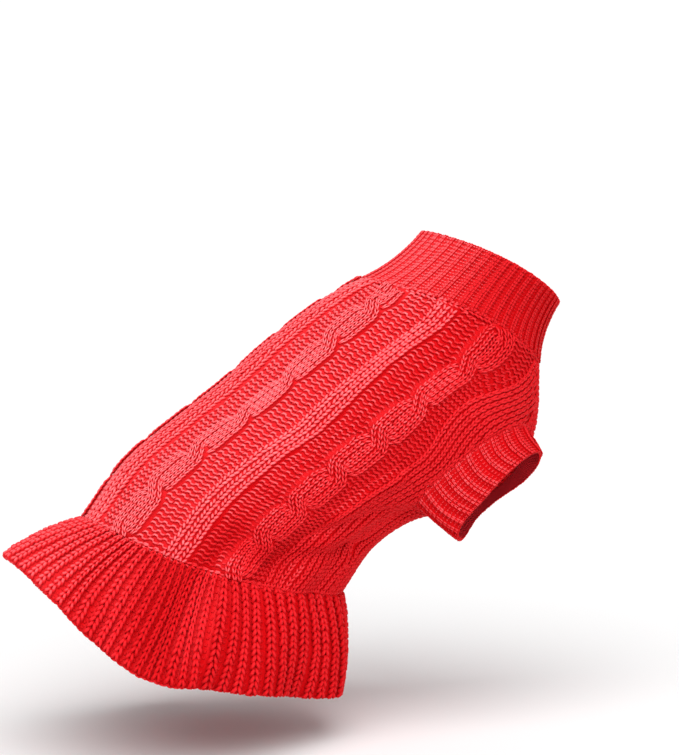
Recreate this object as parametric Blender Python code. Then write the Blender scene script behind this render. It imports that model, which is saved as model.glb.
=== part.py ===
"""Worn dog sweater: cable-knit body, ribbed skirt, ribbed collar and two short ribbed sleeves.

Frame: +X is the way the wearer faces, +Z is up, XZ is the mirror plane and the right side is -Y.
The origin is on the inner face of the back at the neck seam, where the withers carry the sweater.
Tables and constants are in millimetres; meshes are made in metres.

Every piece is a wall between an inner surface, which is plain, and an outer surface, which carries
the cables and ribs. A place on the body is (along, around): along runs from 0 at the waist seam to
1 at the neck seam, around from 0 at the spine to 1 at the middle of the belly, negative on the left.
"""
import math
from collections import namedtuple

import bmesh
import bpy
import numpy as np

MM = 0.001

# Knit
WALL = 2.2              # purl ground, the plain thickness
BAND_RISE = {"knit": 1.0, "plain": 0.5}     # knit bands and stocking stitch above the purl ground
CABLE_RISE = 3.0        # top of a cable above the purl ground
SEAM_GAP = 0.3          # between two pieces that are sewn together
EDGE_SOFT = 0.8         # half the width of the step from purl to knit

# Cables: six stitches, two strands, crossed every ten rows
CABLE_PITCH = 37.8
STRAND_REACH = 0.27     # share of the pitch, each side of a crossing, over which the strands swap
STRAND_DIP = 0.75       # how far the strand behind sinks at the crossing
STRAND_HALF = 0.56      # half the width of a strand, as a share of half the cable

# Ribs
SKIRT_RIBS, SKIRT_RIB_RISE = 72, 1.6
COLLAR_RIBS, COLLAR_RIB_RISE = 46, 1.1
SLEEVE_RIBS, SLEEVE_RIB_RISE = 24, 1.1
SLEEVE_RIB_START = 7.0  # how far from its seam a sleeve's ribs are at their full height

# Courses lean back from the rings of the body on the flanks
COURSE_LEAN = 30.0
COURSE_LEAN_START = 80.0
COURSE_LEAN_UNTIL = 0.77

# Body rings, from the waist seam to the neck seam. back and belly are the ends of a ring in the mirror
# plane, widest is the share of that chord at which the ring is widest, lead moves the flanks forward.
Ring = namedtuple("Ring", "along back_x back_z belly_x belly_z half_width widest lead")
BODY = (
    Ring(0.00, -196, -143, -28, -199, 63, 0.45, -8),
    Ring(0.15, -168, -109, -7, -172, 66, 0.46, -4),
    Ring(0.30, -135, -85, 19, -157, 67, 0.47, -1),
    Ring(0.45, -102, -63, 48, -152, 66, 0.47, 1),
    Ring(0.60, -71, -39, 78, -145, 65, 0.47, 2),
    Ring(0.75, -41, -19, 102, -128, 62, 0.47, 3),
    Ring(0.88, -17, -6, 115, -101, 57, 0.46, 5),
    Ring(1.00, 0, 0, 117, -61, 52, 0.45, 7),
)
HEM = Ring(1.00, -255, -160, -31, -255, 90, 0.39, -33)
COLLAR_TOP = Ring(1.00, 45, 30, 133, -19, 43, 0.46, 3)

# Knit bands from the spine outward: the share of the half ring at which each ends, at five places
# along the body. The last one ends on the side seam.
BAND_ALONG = (0.0, 0.20, 0.50, 0.78, 1.0)
Band = namedtuple("Band", "kind columns waist loin middle shoulder neck")
BANDS = (
    Band("knit", 3, 0.042, 0.055, 0.055, 0.050, 0.050),
    Band("purl", 3, 0.085, 0.108, 0.122, 0.097, 0.092),
    Band("cable", 7, 0.168, 0.188, 0.178, 0.180, 0.190),
    Band("purl", 2, 0.250, 0.258, 0.250, 0.257, 0.290),
    Band("knit", 2, 0.315, 0.328, 0.312, 0.304, 0.375),
    Band("purl", 3, 0.405, 0.415, 0.388, 0.400, 0.470),
    Band("cable", 7, 0.490, 0.517, 0.490, 0.480, 0.640),
    Band("purl", 3, 0.535, 0.572, 0.562, 0.530, 0.780),
    Band("plain", 7, 0.790, 0.770, 0.770, 0.770, 0.860),
)
# Where the end of a band is dragged aside: its number, the place along, the half length, the shift
Drift = namedtuple("Drift", "band along half shift")
DRIFTS = (Drift(3, 0.40, 0.09, 0.014), Drift(4, 0.44, 0.09, 0.010))
HALF_GIRTH = 240.0      # mean length of a half ring, which turns a share into millimetres
BODY_LENGTH = 240.0     # mean length from waist to neck

# Armholes, in shares of the body: their ends lie on the side seam
Armhole = namedtuple("Armhole", "rear front rise drop")
ARMHOLE = Armhole(rear=0.38, front=0.83, rise=0.12, drop=0.13)

# Sleeves: how long they are at the rear, on the outside, at the front and on the inside, how far they
# point ahead and outward for each step down, and how much narrower the cuff is than the armhole
Sleeve = namedtuple("Sleeve", "rear outside front inside ahead out squeeze")
SLEEVE = Sleeve(rear=34.5, outside=29.0, front=19.0, inside=7.0, ahead=0.9, out=0.30, squeeze=0.92)

# Folds on the body: a straight run from one place to another, how wide and how deep
Fold = namedtuple("Fold", "along_0 around_0 along_1 around_1 half_width depth")
FOLDS = (
    Fold(0.02, 0.72, 0.34, 0.76, 10, 3.5),
    Fold(0.30, 0.69, 0.11, 0.55, 7, 3.3),
    Fold(0.15, 0.77, 0.06, 0.53, 7, 4.5),
    Fold(0.07, 0.44, 0.04, 0.58, 9, 4.0),
    Fold(0.09, 0.39, 0.01, 0.37, 8, 3.5),
    Fold(0.43, 0.58, 0.23, 0.59, 6, -2.5),
    Fold(0.05, -0.70, 0.30, -0.77, 11, 4.5),
    Fold(0.02, -0.58, 0.13, -0.60, 10, 3.0),
    Fold(0.88, 0.10, 0.97, 0.16, 7, 2.0),
    Fold(0.86, -0.12, 0.96, -0.17, 7, 2.0),
)

# Flare waves of the skirt: where each crest or hollow lies, how wide and how high at the hem
Wave = namedtuple("Wave", "around half_width height")
WAVES = (
    Wave(0.06, 0.055, 1.0), Wave(0.17, 0.050, 4.5), Wave(0.29, 0.045, -5.0), Wave(0.40, 0.055, 5.0),
    Wave(0.52, 0.045, -4.0), Wave(0.62, 0.050, 4.0), Wave(0.73, 0.045, -4.5), Wave(0.85, 0.055, 4.0),
    Wave(1.00, 0.060, -2.5),
    Wave(-0.10, 0.070, -7.0), Wave(-0.20, 0.055, -4.5), Wave(-0.30, 0.150, -12.0),
    Wave(-0.33, 0.050, 3.5), Wave(-0.45, 0.055, -4.5),
    Wave(-0.58, 0.045, 4.0), Wave(-0.68, 0.050, -4.0), Wave(-0.80, 0.050, 4.0), Wave(-0.91, 0.045, -3.5),
)
SKIRT_LIFT = 7.0        # how far the skirt springs out between waist and hem
COLLAR_LIFT = -3.0      # how far the collar draws in between seam and edge

WAVE_GROWTH = 1.4       # how the waves grow from waist to hem

# The skirt's ribs are gathered unevenly: where they lie at the waist and at the hem, by their share
RIB_SHARE = (0.000, 0.167, 0.278, 0.364, 0.500, 0.611, 0.722, 0.833, 1.000)
RIB_WAIST = (0.000, 0.145, 0.220, 0.280, 0.375, 0.455, 0.600, 0.760, 1.000)
RIB_HEM = (0.000, 0.175, 0.265, 0.335, 0.440, 0.545, 0.680, 0.810, 1.000)

# How much longer the skirt hangs than the plain ring of its hem, at shares of the half ring
HEM_DROP_AT = (0.00, 0.19, 0.25, 0.31, 0.38, 0.44, 0.50, 0.56, 0.62, 0.69, 0.75, 0.81, 0.88, 0.94, 1.00)
HEM_DROP = (0.0, 0.0, 4.0, 5.5, 5.0, 2.5, 0.0, -2.0, -4.0, -1.5, 1.5, 3.0, 6.0, 5.0, 3.0)

# How far the skirt is hitched up on the left, at shares of the left half ring
HITCH_AT = (0.00, 0.06, 0.12, 0.19, 0.25, 0.31, 0.38, 0.45, 0.52, 0.62)
HITCH = (0.0, 2.0, 6.0, 10.5, 14.5, 17.0, 17.0, 13.0, 7.0, 0.0)

# Creases of the skirt: where each starts at the waist and ends at the hem, how wide and how deep
Crease = namedtuple("Crease", "waist hem half_width depth")
CREASES = (
    Crease(0.335, 0.415, 0.050, 13.0), Crease(0.235, 0.310, 0.035, -3.0), Crease(0.430, 0.510, 0.035, -3.0),
    Crease(-0.33, -0.45, 0.035, 4.0), Crease(-0.62, -0.68, 0.030, 3.0),
)

# Mesh: rows before, along and after the armhole, and the steps of the other pieces
PANEL_ROWS, BELLY_COLUMNS = (16, 24, 7), 12
SKIRT_ROWS, COLLAR_ROWS = 6, 4
SLEEVE_SHARES = (0.0, 0.10, 0.40, 0.70, 1.0)
PANEL_STEP, TUBE_STEP = 3, 2    # the inner surface keeps every third or second column
SHARP_DEG = 50

RED = (0.62, 0.028, 0.045, 1.0)


def smooth_step(x):
    """Cubic step from 0 to 1."""
    x = np.clip(x, 0.0, 1.0)
    return x * x * (3 - 2 * x)


def hermite(knots, values, x):
    """Smooth curve through the values at uneven knots."""
    knots, values = np.asarray(knots, float), np.asarray(values, float)
    slope = np.gradient(values, knots)
    i = np.clip(np.searchsorted(knots, x) - 1, 0, len(knots) - 2)
    step = knots[i + 1] - knots[i]
    t = (x - knots[i]) / step
    return (values[i] * (1 + 2 * t) * (1 - t) ** 2 + values[i + 1] * t * t * (3 - 2 * t)
            + step * (slope[i] * t * (1 - t) ** 2 - slope[i + 1] * t * t * (1 - t)))


def half_ring(ring, turn):
    """Points of the right half of rings whose values are columns, at angles from the spine."""
    back = np.stack([ring.back_x, 0 * ring.back_x, ring.back_z], -1)
    belly = np.stack([ring.belly_x, 0 * ring.belly_x, ring.belly_z], -1)
    chord = belly - back
    ahead = np.stack([-chord[..., 2], 0 * chord[..., 0], chord[..., 0]], -1)
    ahead /= np.linalg.norm(ahead, axis=-1, keepdims=True)
    share = np.where(turn <= math.pi / 2, ring.widest * (1 - np.cos(turn)),
                     ring.widest - (1 - ring.widest) * np.cos(turn))
    point = back + share[..., None] * chord + (ring.lead * np.sin(turn) ** 2)[..., None] * ahead
    point[..., 1] = -ring.half_width * np.sin(turn)
    return point


def spaced_ring(ring, around):
    """Points of whole rings at shares of the half ring's length, right side positive."""
    turn = np.linspace(0, math.pi, 181)
    rows = np.asarray(ring.back_x, float).reshape(-1)
    columns = Ring(*(np.asarray(c, float).reshape(-1, 1) + 0 * turn for c in ring))
    dense = half_ring(columns, turn[None] + 0 * rows[:, None])
    step = np.linalg.norm(np.diff(dense, axis=1), axis=2)
    length = np.concatenate([np.zeros((len(rows), 1)), np.cumsum(step, axis=1)], axis=1)
    out = np.empty((len(rows), len(around), 3))
    for k in range(len(rows)):
        for axis in range(3):
            out[k, :, axis] = np.interp(np.abs(around) * length[k, -1], length[k], dense[k, :, axis])
    out[..., 1] *= np.where(around < 0, -1, 1)
    return out


def normals_of(points):
    """Unit normals of a grid, pointing away from the middle of its rows."""
    d_along = np.gradient(points, axis=0)
    d_round = np.empty_like(points)
    d_round[:, 1:-1] = points[:, 2:] - points[:, :-2]
    d_round[:, 0] = d_round[:, -1] = points[:, 1] - points[:, -2]
    normal = np.cross(d_round, d_along)
    normal /= np.linalg.norm(normal, axis=2, keepdims=True)
    outward = points - points.mean(axis=1, keepdims=True)
    return normal if (normal * outward).sum() > 0 else -normal


def off_segment(x, y, x0, y0, x1, y1):
    """Distance of places from a straight run."""
    run = (x1 - x0) ** 2 + (y1 - y0) ** 2
    t = np.clip(((x - x0) * (x1 - x0) + (y - y0) * (y1 - y0)) / run, 0, 1)
    return np.hypot(x - x0 - t * (x1 - x0), y - y0 - t * (y1 - y0))


class Skin:
    """A surface sampled on a fine grid: places, normals and the course that passes there."""

    def __init__(self, along, around, points):
        self.along, self.around, self.points = along, around, points
        self.normals = normals_of(points)
        step = np.linalg.norm(np.diff(points, axis=0), axis=2)
        self.courses = np.vstack([np.zeros((1, len(around))), np.cumsum(step, axis=0)])

    def at(self, along, around, grid):
        """Bilinear value of one of the grids at places."""
        along, around = np.broadcast_arrays(np.asarray(along, float), np.asarray(around, float))
        x = np.clip(along, 0, 1) * (len(self.along) - 1)
        y = (np.clip(around, -1, 1) + 1) / 2 * (len(self.around) - 1)
        i = np.minimum(x.astype(int), len(self.along) - 2)
        j = np.minimum(y.astype(int), len(self.around) - 2)
        fx, fy = x - i, y - j
        if grid.ndim == 3:
            fx, fy = fx[..., None], fy[..., None]
        return (grid[i, j] * (1 - fx) * (1 - fy) + grid[i + 1, j] * fx * (1 - fy)
                + grid[i, j + 1] * (1 - fx) * fy + grid[i + 1, j + 1] * fx * fy)

    def point(self, along, around):
        """Places on the surface."""
        return self.at(along, around, self.points)

    def normal(self, along, around):
        """Outward unit normals of the surface."""
        normal = self.at(along, around, self.normals)
        return normal / np.linalg.norm(normal, axis=-1, keepdims=True)


def band_ends(along):
    """Where each knit band ends at places along the body, bands on a new last axis."""
    ends = np.stack([hermite(BAND_ALONG, band[2:], along) for band in BANDS], axis=-1)
    for drift in DRIFTS:
        ends[..., drift.band] += drift.shift * np.exp(-((along - drift.along) / drift.half) ** 2)
    return ends


def body_skin():
    """The inner surface of back and belly, with its folds."""
    along, around = np.linspace(0, 1, 161), np.linspace(-1, 1, 321)
    knots = [ring.along for ring in BODY]
    ring = Ring(along, *(hermite(knots, [getattr(r, name) for r in BODY], along)
                         for name in Ring._fields[1:]))
    skin = Skin(along, around, spaced_ring(ring, around))
    length = skin.courses[-1].mean()
    x, y = np.meshgrid(along * length, around * HALF_GIRTH, indexing="ij")
    push = np.zeros_like(x)
    for fold in FOLDS:
        gap = off_segment(x, y, fold.along_0 * length, fold.around_0 * HALF_GIRTH,
                          fold.along_1 * length, fold.around_1 * HALF_GIRTH)
        push -= fold.depth * np.exp(-(gap / fold.half_width) ** 2)
    skin = Skin(along, around, skin.points + push[..., None] * skin.normals)
    lean = COURSE_LEAN * np.minimum(np.abs(around) / COURSE_LEAN_UNTIL, 1.0)
    skin.courses = skin.courses + lean * smooth_step(skin.courses / COURSE_LEAN_START)
    return skin


def cable_rise(across, course):
    """Height of a two-strand cable: across runs from -1 to 1, the front strand climbs to the spine."""
    turn = (course / CABLE_PITCH + 0.5) % 1.0 - 0.5
    sway = np.clip(turn / STRAND_REACH, -1, 1)
    middle = 0.5 * np.sin(sway * math.pi / 2)
    crossing = np.cos(sway * math.pi / 2) ** 2
    rise = np.zeros_like(across)
    for side, height in ((-1, 0.85 + 0.15 * crossing), (1, 0.85 - STRAND_DIP * crossing)):
        dome = np.sqrt(np.clip(1 - ((across - side * middle) / STRAND_HALF) ** 2, 0, 1))
        rise = np.maximum(rise, CABLE_RISE * height * dome)
    return rise


def panel_rise(along, around, course):
    """Height of the knit above the purl ground on the back and flanks."""
    place, ends = np.abs(around), band_ends(along)
    soft = EDGE_SOFT / HALF_GIRTH
    rise = np.zeros_like(place)
    begins = np.full_like(place, -1.0)
    for k, band in enumerate(BANDS):
        inside = smooth_step((place - begins) / (2 * soft) + 0.5)
        if k + 1 < len(BANDS):
            inside *= smooth_step((ends[..., k] - place) / (2 * soft) + 0.5)
        rise += BAND_RISE.get(band.kind, 0.0) * inside
        if band.kind == "cable":
            middle, half = (begins + ends[..., k]) / 2, (ends[..., k] - begins) / 2
            rise = np.maximum(rise, cable_rise((place - middle) / half, course))
        begins = ends[..., k]
    return rise


def panel_columns(along):
    """Where the back panel has its columns on each of its rows, one each side of a step."""
    soft = EDGE_SOFT / HALF_GIRTH
    ends = band_ends(along)
    places, begins = [], 0.0 * along - soft
    for k, band in enumerate(BANDS):
        last = ends[:, k] - soft * (k + 1 < len(BANDS))
        places.append(np.linspace(begins + soft, last, band.columns, axis=1))
        begins = ends[:, k]
    return np.hstack(places)


def stretch(path, counts, stops):
    """Resample a path so that each stretch between two stops has its own count of even steps."""
    scale = np.array([BODY_LENGTH, HALF_GIRTH])
    length = np.concatenate([[0], np.cumsum(np.linalg.norm(np.diff(path * scale, axis=0), axis=1))])
    places = [0.0]
    for count, start, end in zip(counts, stops[:-1], stops[1:]):
        places.extend(np.linspace(length[start], length[end], count + 1)[1:])
    return np.stack([np.interp(places, length, path[:, k]) for k in (0, 1)], axis=1)


def side_edge(reach, counts):
    """The side edge of a panel from waist to neck: reach is how far its half of the armhole goes."""
    turn = np.linspace(0, math.pi, 91)
    middle, half = (ARMHOLE.rear + ARMHOLE.front) / 2, (ARMHOLE.front - ARMHOLE.rear) / 2
    hole = middle - half * np.cos(turn)
    before, after = np.linspace(0, hole[0], 11)[:-1], np.linspace(hole[-1], 1, 11)[1:]
    along = np.concatenate([before, hole, after])
    around = band_ends(along)[:, -1]
    around[len(before):len(before) + len(hole)] += reach * np.sin(turn)
    stops = (0, len(before), len(before) + len(hole) - 1, len(along) - 1)
    return stretch(np.stack([along, around], axis=1), counts, stops)


def new_object(name, vertices, faces, collection):
    """A mesh object in metres, with its faces turned outward and a material of its own."""
    mesh = bpy.data.meshes.new(name)
    mesh.from_pydata([tuple(vertex * MM) for vertex in vertices], [], faces)
    work = bmesh.new()
    work.from_mesh(mesh)
    bmesh.ops.recalc_face_normals(work, faces=work.faces)
    work.to_mesh(mesh)
    work.free()
    mesh.shade_smooth()
    mesh.set_sharp_from_angle(angle=math.radians(SHARP_DEG))
    material = bpy.data.materials.new(name + "_knit")
    material.use_nodes = True
    shader = material.node_tree.nodes["Principled BSDF"]
    shader.inputs["Base Color"].default_value = RED
    shader.inputs["Roughness"].default_value = 0.85
    shader.inputs["Metallic"].default_value = 0.0
    mesh.materials.append(material)
    piece = bpy.data.objects.new(name, mesh)
    collection.objects.link(piece)
    return piece


def sheet_faces(ids):
    """Quads of a grid of vertex numbers."""
    rows, columns = ids.shape
    return [(ids[i, j], ids[i, j + 1], ids[i + 1, j + 1], ids[i + 1, j])
            for i in range(rows - 1) for j in range(columns - 1)]


def rim_faces(fine, coarse):
    """Faces between two edges, the first with a whole number of steps to each step of the second."""
    share = (len(fine) - 1) // (len(coarse) - 1)
    faces = []
    for k in range(len(coarse) - 1):
        start, middle, end = k * share, k * share + share // 2, (k + 1) * share
        faces.extend((fine[step], fine[step + 1], coarse[k]) for step in range(start, middle))
        faces.append((fine[middle], fine[middle + 1], coarse[k + 1], coarse[k]))
        faces.extend((fine[step], fine[step + 1], coarse[k + 1]) for step in range(middle + 1, end))
    return faces


def knit_wall(name, outer, inner, step, sewn, closed, collection):
    """A closed wall between two grids: the inner one keeps few columns, but all on its sewn rows."""
    rows, columns = outer.shape[:2]
    outer_ids = np.arange(rows * columns).reshape(rows, columns)
    inner_ids = outer_ids + outer_ids.size
    if closed:
        outer_ids, inner_ids = (np.hstack([ids, ids[:, :1]]) for ids in (outer_ids, inner_ids))
    kept = [inner_ids[row] if row in sewn else inner_ids[row, ::step] for row in range(rows)]
    faces = sheet_faces(outer_ids) + rim_faces(outer_ids[0], kept[0]) + rim_faces(outer_ids[-1], kept[-1])
    for upper, lower in zip(kept[:-1], kept[1:]):
        faces += rim_faces(*sorted((upper, lower), key=len, reverse=True))
    if not closed:
        for column in (0, -1):
            faces += rim_faces(outer_ids[:, column], inner_ids[:, column])
    used, place = np.unique(np.concatenate([np.ravel(face) for face in faces]), return_inverse=True)
    vertices = np.vstack([outer.reshape(-1, 3), inner.reshape(-1, 3)])[used]
    ends = np.cumsum([len(face) for face in faces])
    faces = [tuple(place[end - len(face):end]) for face, end in zip(faces, ends)]
    return new_object(name, vertices, faces, collection)


def back_panel(skin, collection):
    """Back and flanks: the rows fan out at the side to follow the armhole."""
    edge = side_edge(-ARMHOLE.rise, PANEL_ROWS)
    rows = np.linspace(0, 1, len(edge))
    columns = panel_columns(rows)
    fixed = columns.shape[1] - BANDS[-1].columns
    free = np.append(np.zeros(fixed), np.linspace(0, 1, BANDS[-1].columns))
    along = rows[:, None] * (1 - smooth_step(free)) + edge[:, :1] * smooth_step(free)
    fan_from = columns[:, fixed:fixed + 1]
    around = np.where(free > 0, fan_from + free * (edge[:, 1:] - fan_from), columns)
    around -= SEAM_GAP / 2 / HALF_GIRTH * free
    along = np.hstack([along[:, :0:-1], along])
    around = np.hstack([-around[:, :0:-1], around])
    base, normal = skin.point(along, around), skin.normal(along, around)
    rise = panel_rise(along, around, skin.at(along, around, skin.courses))
    outer = base + (WALL + rise)[..., None] * normal
    return knit_wall("back_panel", outer, base, PANEL_STEP, (0, len(rows) - 1), False, collection)


def belly_panel(skin, collection):
    """Chest and belly, narrowed between the sleeves."""
    edge = side_edge(ARMHOLE.drop, PANEL_ROWS)
    rows = np.linspace(0, 1, len(edge))
    share = np.linspace(0, 1, BELLY_COLUMNS // 2 + 1)
    seam = edge[:, 1:] + SEAM_GAP / 2 / HALF_GIRTH
    around = 1 + share * (seam - 1)
    along = rows[:, None] * (1 - share ** 2) + edge[:, :1] * share ** 2
    around = np.hstack([around[:, ::-1], -around[:, 1:]])
    along = np.hstack([along[:, ::-1], along[:, 1:]])
    base, normal = skin.point(along, around), skin.normal(along, around)
    outer = base + (WALL + BAND_RISE["plain"]) * normal
    return knit_wall("belly_panel", outer, base, PANEL_STEP, (0, len(rows) - 1), False, collection)


def tube_normals(grid):
    """Outward unit normals of a tube's grid."""
    return normals_of(np.concatenate([grid[:, -1:], grid, grid[:, :1]], axis=1))[:, 1:-1]


def rib_wave(columns, ribs):
    """Height of each column of a ribbed tube, from 0 in a furrow to 1 on a rib."""
    return 0.5 - 0.5 * np.cos(2 * math.pi * np.arange(columns) * ribs / columns)


def round_places(columns):
    """Shares round a ring, from the spine down the right side and up the left."""
    place = np.arange(columns) * 2.0 / columns
    return np.where(place <= 1, place, place - 2)


def unit(vectors):
    """Vectors of length one."""
    return vectors / np.linalg.norm(vectors, axis=-1, keepdims=True)


def seam_ring(skin, at, around):
    """Places and normals on the panels' own edge at an end of the body, straight between columns."""
    back = panel_columns(np.array([at]))[0]
    belly = np.linspace(back[-1], 1, BELLY_COLUMNS // 2 + 1)[1:]
    right = np.concatenate([back, belly])
    columns = np.concatenate([-right[:0:-1], right])
    return [np.stack([np.interp(around, columns, values[:, axis]) for axis in range(3)], axis=1)
            for values in (skin.point(at, columns), skin.normal(at, columns))]


def ribbed_tube(name, skin, at, rim, lift, waves, rows, ribs, rise, collection):
    """A ribbed tube sewn to an end of the body, from its seam to a rim of its own."""
    around = sewn = round_places(2 * ribs)
    if rim is HEM:
        sewn = np.sign(around) * hermite(RIB_SHARE, RIB_WAIST, np.abs(around))
        around = np.sign(around) * hermite(RIB_SHARE, RIB_HEM, np.abs(around))
    start, normal = seam_ring(skin, at, sewn)
    away = unit(start - skin.point(abs(at - 0.02), sewn))
    end = spaced_ring(rim, around)[0]
    out = unit(end - end.mean(axis=0))
    share = np.linspace(0, 1, rows + 1)[:, None, None]
    if rim is HEM:
        drop = np.interp(np.abs(around), HEM_DROP_AT, HEM_DROP) - np.interp(-around, HITCH_AT, HITCH)
        end = end + drop[:, None] * unit(end - start)
        lift = lift * (0.45 + 0.55 * np.sin(math.pi * np.abs(around)))[:, None]
    grid = (start + SEAM_GAP * away) * (1 - share) + end * share
    grid = grid + 4 * share * (1 - share) * lift * normal
    height = sum(wave.height * np.exp(-(gap / wave.half_width) ** 2) for wave in waves
                 for gap in (around - wave.around, around - wave.around + 2 * np.sign(wave.around)))
    grid = grid + share ** WAVE_GROWTH * np.broadcast_to(height, around.shape)[:, None] * out
    if rim is HEM:
        for crease in CREASES:
            gap = (sewn - crease.waist) * (1 - share[..., 0]) + (around - crease.hem) * share[..., 0]
            sink = crease.depth * np.sin(0.92 * math.pi * share[..., 0]) ** 0.7
            grid = grid - (sink * np.exp(-(gap / crease.half_width) ** 2))[..., None] * normal
    normals = tube_normals(grid)
    normals[0] = normal
    outer = grid + (WALL + rise * rib_wave(2 * ribs, ribs))[:, None] * normals
    return knit_wall(name, outer, grid, TUBE_STEP, (0,), True, collection)


def sleeve(name, skin, side, collection):
    """A short ribbed sleeve sewn into an armhole: its seam shares the points of the panels' edges."""
    upper = side_edge(-ARMHOLE.rise, PANEL_ROWS)[PANEL_ROWS[0]:PANEL_ROWS[0] + PANEL_ROWS[1] + 1]
    lower = side_edge(ARMHOLE.drop, PANEL_ROWS)[PANEL_ROWS[0]:PANEL_ROWS[0] + PANEL_ROWS[1] + 1]
    loop = np.vstack([upper, lower[-2:0:-1]])
    mirror = np.array([1, side, 1])
    seam = skin.point(loop[:, 0], side * loop[:, 1]) * mirror
    normal = skin.normal(loop[:, 0], side * loop[:, 1]) * mirror
    run = np.roll(seam, -1, axis=0) - np.roll(seam, 1, axis=0)
    inward = unit(np.cross(normal, run))
    inward *= np.sign(((seam.mean(axis=0) - seam) * inward).sum())
    seam = seam + SEAM_GAP * inward
    reach = hermite((0, 0.25, 0.5, 0.75, 1.0), SLEEVE[:4] + SLEEVE[:1], np.arange(len(loop)) / len(loop))
    down = unit(np.array([SLEEVE.ahead, -SLEEVE.out, -1.0])) * reach[:, None]
    start = seam + WALL * normal
    middle = start.mean(axis=0)
    long_way = unit(start[PANEL_ROWS[1]] - start[0])
    spread = start - middle
    cuff = start + down - (1 - SLEEVE.squeeze) * (spread @ long_way)[:, None] * long_way
    share = np.array(SLEEVE_SHARES)[:, None, None]
    outer = start * (1 - share) + cuff * share
    normals = tube_normals(outer)
    inner = outer - WALL * normals
    inner[0] = seam
    growth = smooth_step(share * reach[:, None] / SLEEVE_RIB_START)
    outer = outer + growth * SLEEVE_RIB_RISE * rib_wave(len(loop), SLEEVE_RIBS)[:, None] * normals
    return knit_wall(name, outer * mirror, inner * mirror, 1, (), True, collection)


def main():
    """Clear the scene and knit the sweater."""
    for old in list(bpy.data.objects):
        bpy.data.objects.remove(old, do_unlink=True)
    collection = bpy.data.collections.new("dog_sweater")
    bpy.context.scene.collection.children.link(collection)
    skin = body_skin()
    back_panel(skin, collection)
    belly_panel(skin, collection)
    ribbed_tube("skirt", skin, 0.0, HEM, SKIRT_LIFT, WAVES, SKIRT_ROWS, SKIRT_RIBS, SKIRT_RIB_RISE,
                collection)
    ribbed_tube("collar", skin, 1.0, COLLAR_TOP, COLLAR_LIFT, (), COLLAR_ROWS, COLLAR_RIBS,
                COLLAR_RIB_RISE, collection)
    sleeve("sleeve_right", skin, 1, collection)
    sleeve("sleeve_left", skin, -1, collection)


main()
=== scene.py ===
"""Looks of a worn cable-knit dog sweater: thin knitted shells that carry every stitch as yarn.

Tables and sizes are in millimetres, and meshes are made in metres in the frame of the CAD part. A
place on the body is (along, around): along runs from 0 at the waist seam to 1 at the neck seam, and
around from 0 at the spine to 1 at the middle of the belly, negative on the left. A wale is a column
of stitches, a course is a row of them.
"""
import logging
import math
from dataclasses import dataclass, field, replace
from enum import Enum

import bmesh
import bpy
import numpy as np
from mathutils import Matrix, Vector


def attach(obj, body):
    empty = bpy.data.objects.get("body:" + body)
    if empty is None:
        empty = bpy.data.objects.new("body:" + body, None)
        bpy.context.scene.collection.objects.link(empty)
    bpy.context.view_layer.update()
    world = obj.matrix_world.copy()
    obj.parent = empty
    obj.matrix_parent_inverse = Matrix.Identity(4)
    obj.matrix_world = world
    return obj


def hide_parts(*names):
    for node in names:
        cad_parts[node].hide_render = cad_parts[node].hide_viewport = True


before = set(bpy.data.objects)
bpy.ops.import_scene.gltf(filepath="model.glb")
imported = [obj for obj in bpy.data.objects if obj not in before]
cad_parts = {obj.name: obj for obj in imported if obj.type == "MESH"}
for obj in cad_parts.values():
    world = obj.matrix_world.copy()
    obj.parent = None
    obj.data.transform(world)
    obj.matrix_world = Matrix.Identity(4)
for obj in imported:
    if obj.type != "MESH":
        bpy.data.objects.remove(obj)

LOG = logging.getLogger("dog_sweater")
MM = 0.001
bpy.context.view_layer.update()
BODY = "root"
STITCH_UV = "stitches"
SEED = 11

# Gauge
WALL = 2.2              # purl ground, the plain thickness of the cloth
SEAM_GAP = 0.3          # between two pieces that are sewn together
COURSE = 3.78           # height of a stitch of the body
PLAIN_WALE = 5.1        # width of a stitch of the plain sides
RIB_YARN = 1.0          # radius of the yarn in the raised ribs
PURL_YARN = 0.92        # in the sunk bands
SIDE_YARN = 0.86        # in the plain sides and the belly
CABLE_YARN = 0.19       # in the cables, as a share of the width of their pulled stitches
SKIRT_YARN = 1.25       # in the skirt, which is knitted loosely
FINE_YARN = 0.52        # in collar and sleeves, which are knitted on finer needles
SHELL_DEPTH = 1.75      # how far the shell stays under the top of the stitches
CABLE_COURSES = 10
CABLE_PITCH = CABLE_COURSES * COURSE

# How the cables swap their strands: shares of the pitch and of half the cable's width
STRAND_REACH, STRAND_DIP, STRAND_HALF = 0.27, 0.75, 0.56
CABLE_RISE = 3.0
STRAND_LEVEL = 0.85     # height of a strand between crossings, as a share of the rise
STRAND_SWING = 0.94     # how far the strands' stitches swing, as a share of the strands' own way
CROSSING_SPREAD = 0.18  # how much wider the stitches are at a crossing
HIDDEN_FROM, HIDDEN_WITHIN = 0.55, 0.62     # how near a crossing and the middle a rear strand is covered
CABLE_PULL = 0.34       # how far a crossing draws the stitches beside it, as a share of the same half
PURL_SHADE = 0.12       # painted shade: how much darker the sunk bands are coloured, in shares of the yarn
SEAM_CHAIN = 4.2        # width of the chain that links two pieces
EDGE_SOFT = 0.8         # half the width of a band's soft edge
EDGE_INSET = 0.2        # how much of a plain wale may be past its panel's edge
FOLD_SHADE = 0.07       # painted shade: how much darker stitches are coloured for each millimetre of a fold
PAINTED_LIGHT_SIDE = (-0.75, -0.05, 0.66)     # the way the cloth faces where painted light makes it palest

# How uneven stitches are: along, in width and aside, and in lift as a share of the yarn
UNEVEN_ALONG, UNEVEN_WIDTH, UNEVEN_ASIDE, UNEVEN_LIFT = 0.05, 0.07, 0.035, 0.12

# Courses lean back from the rings of the body on the flanks
COURSE_LEAN, COURSE_LEAN_START, COURSE_LEAN_UNTIL = 30.0, 80.0, 0.77

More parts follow.
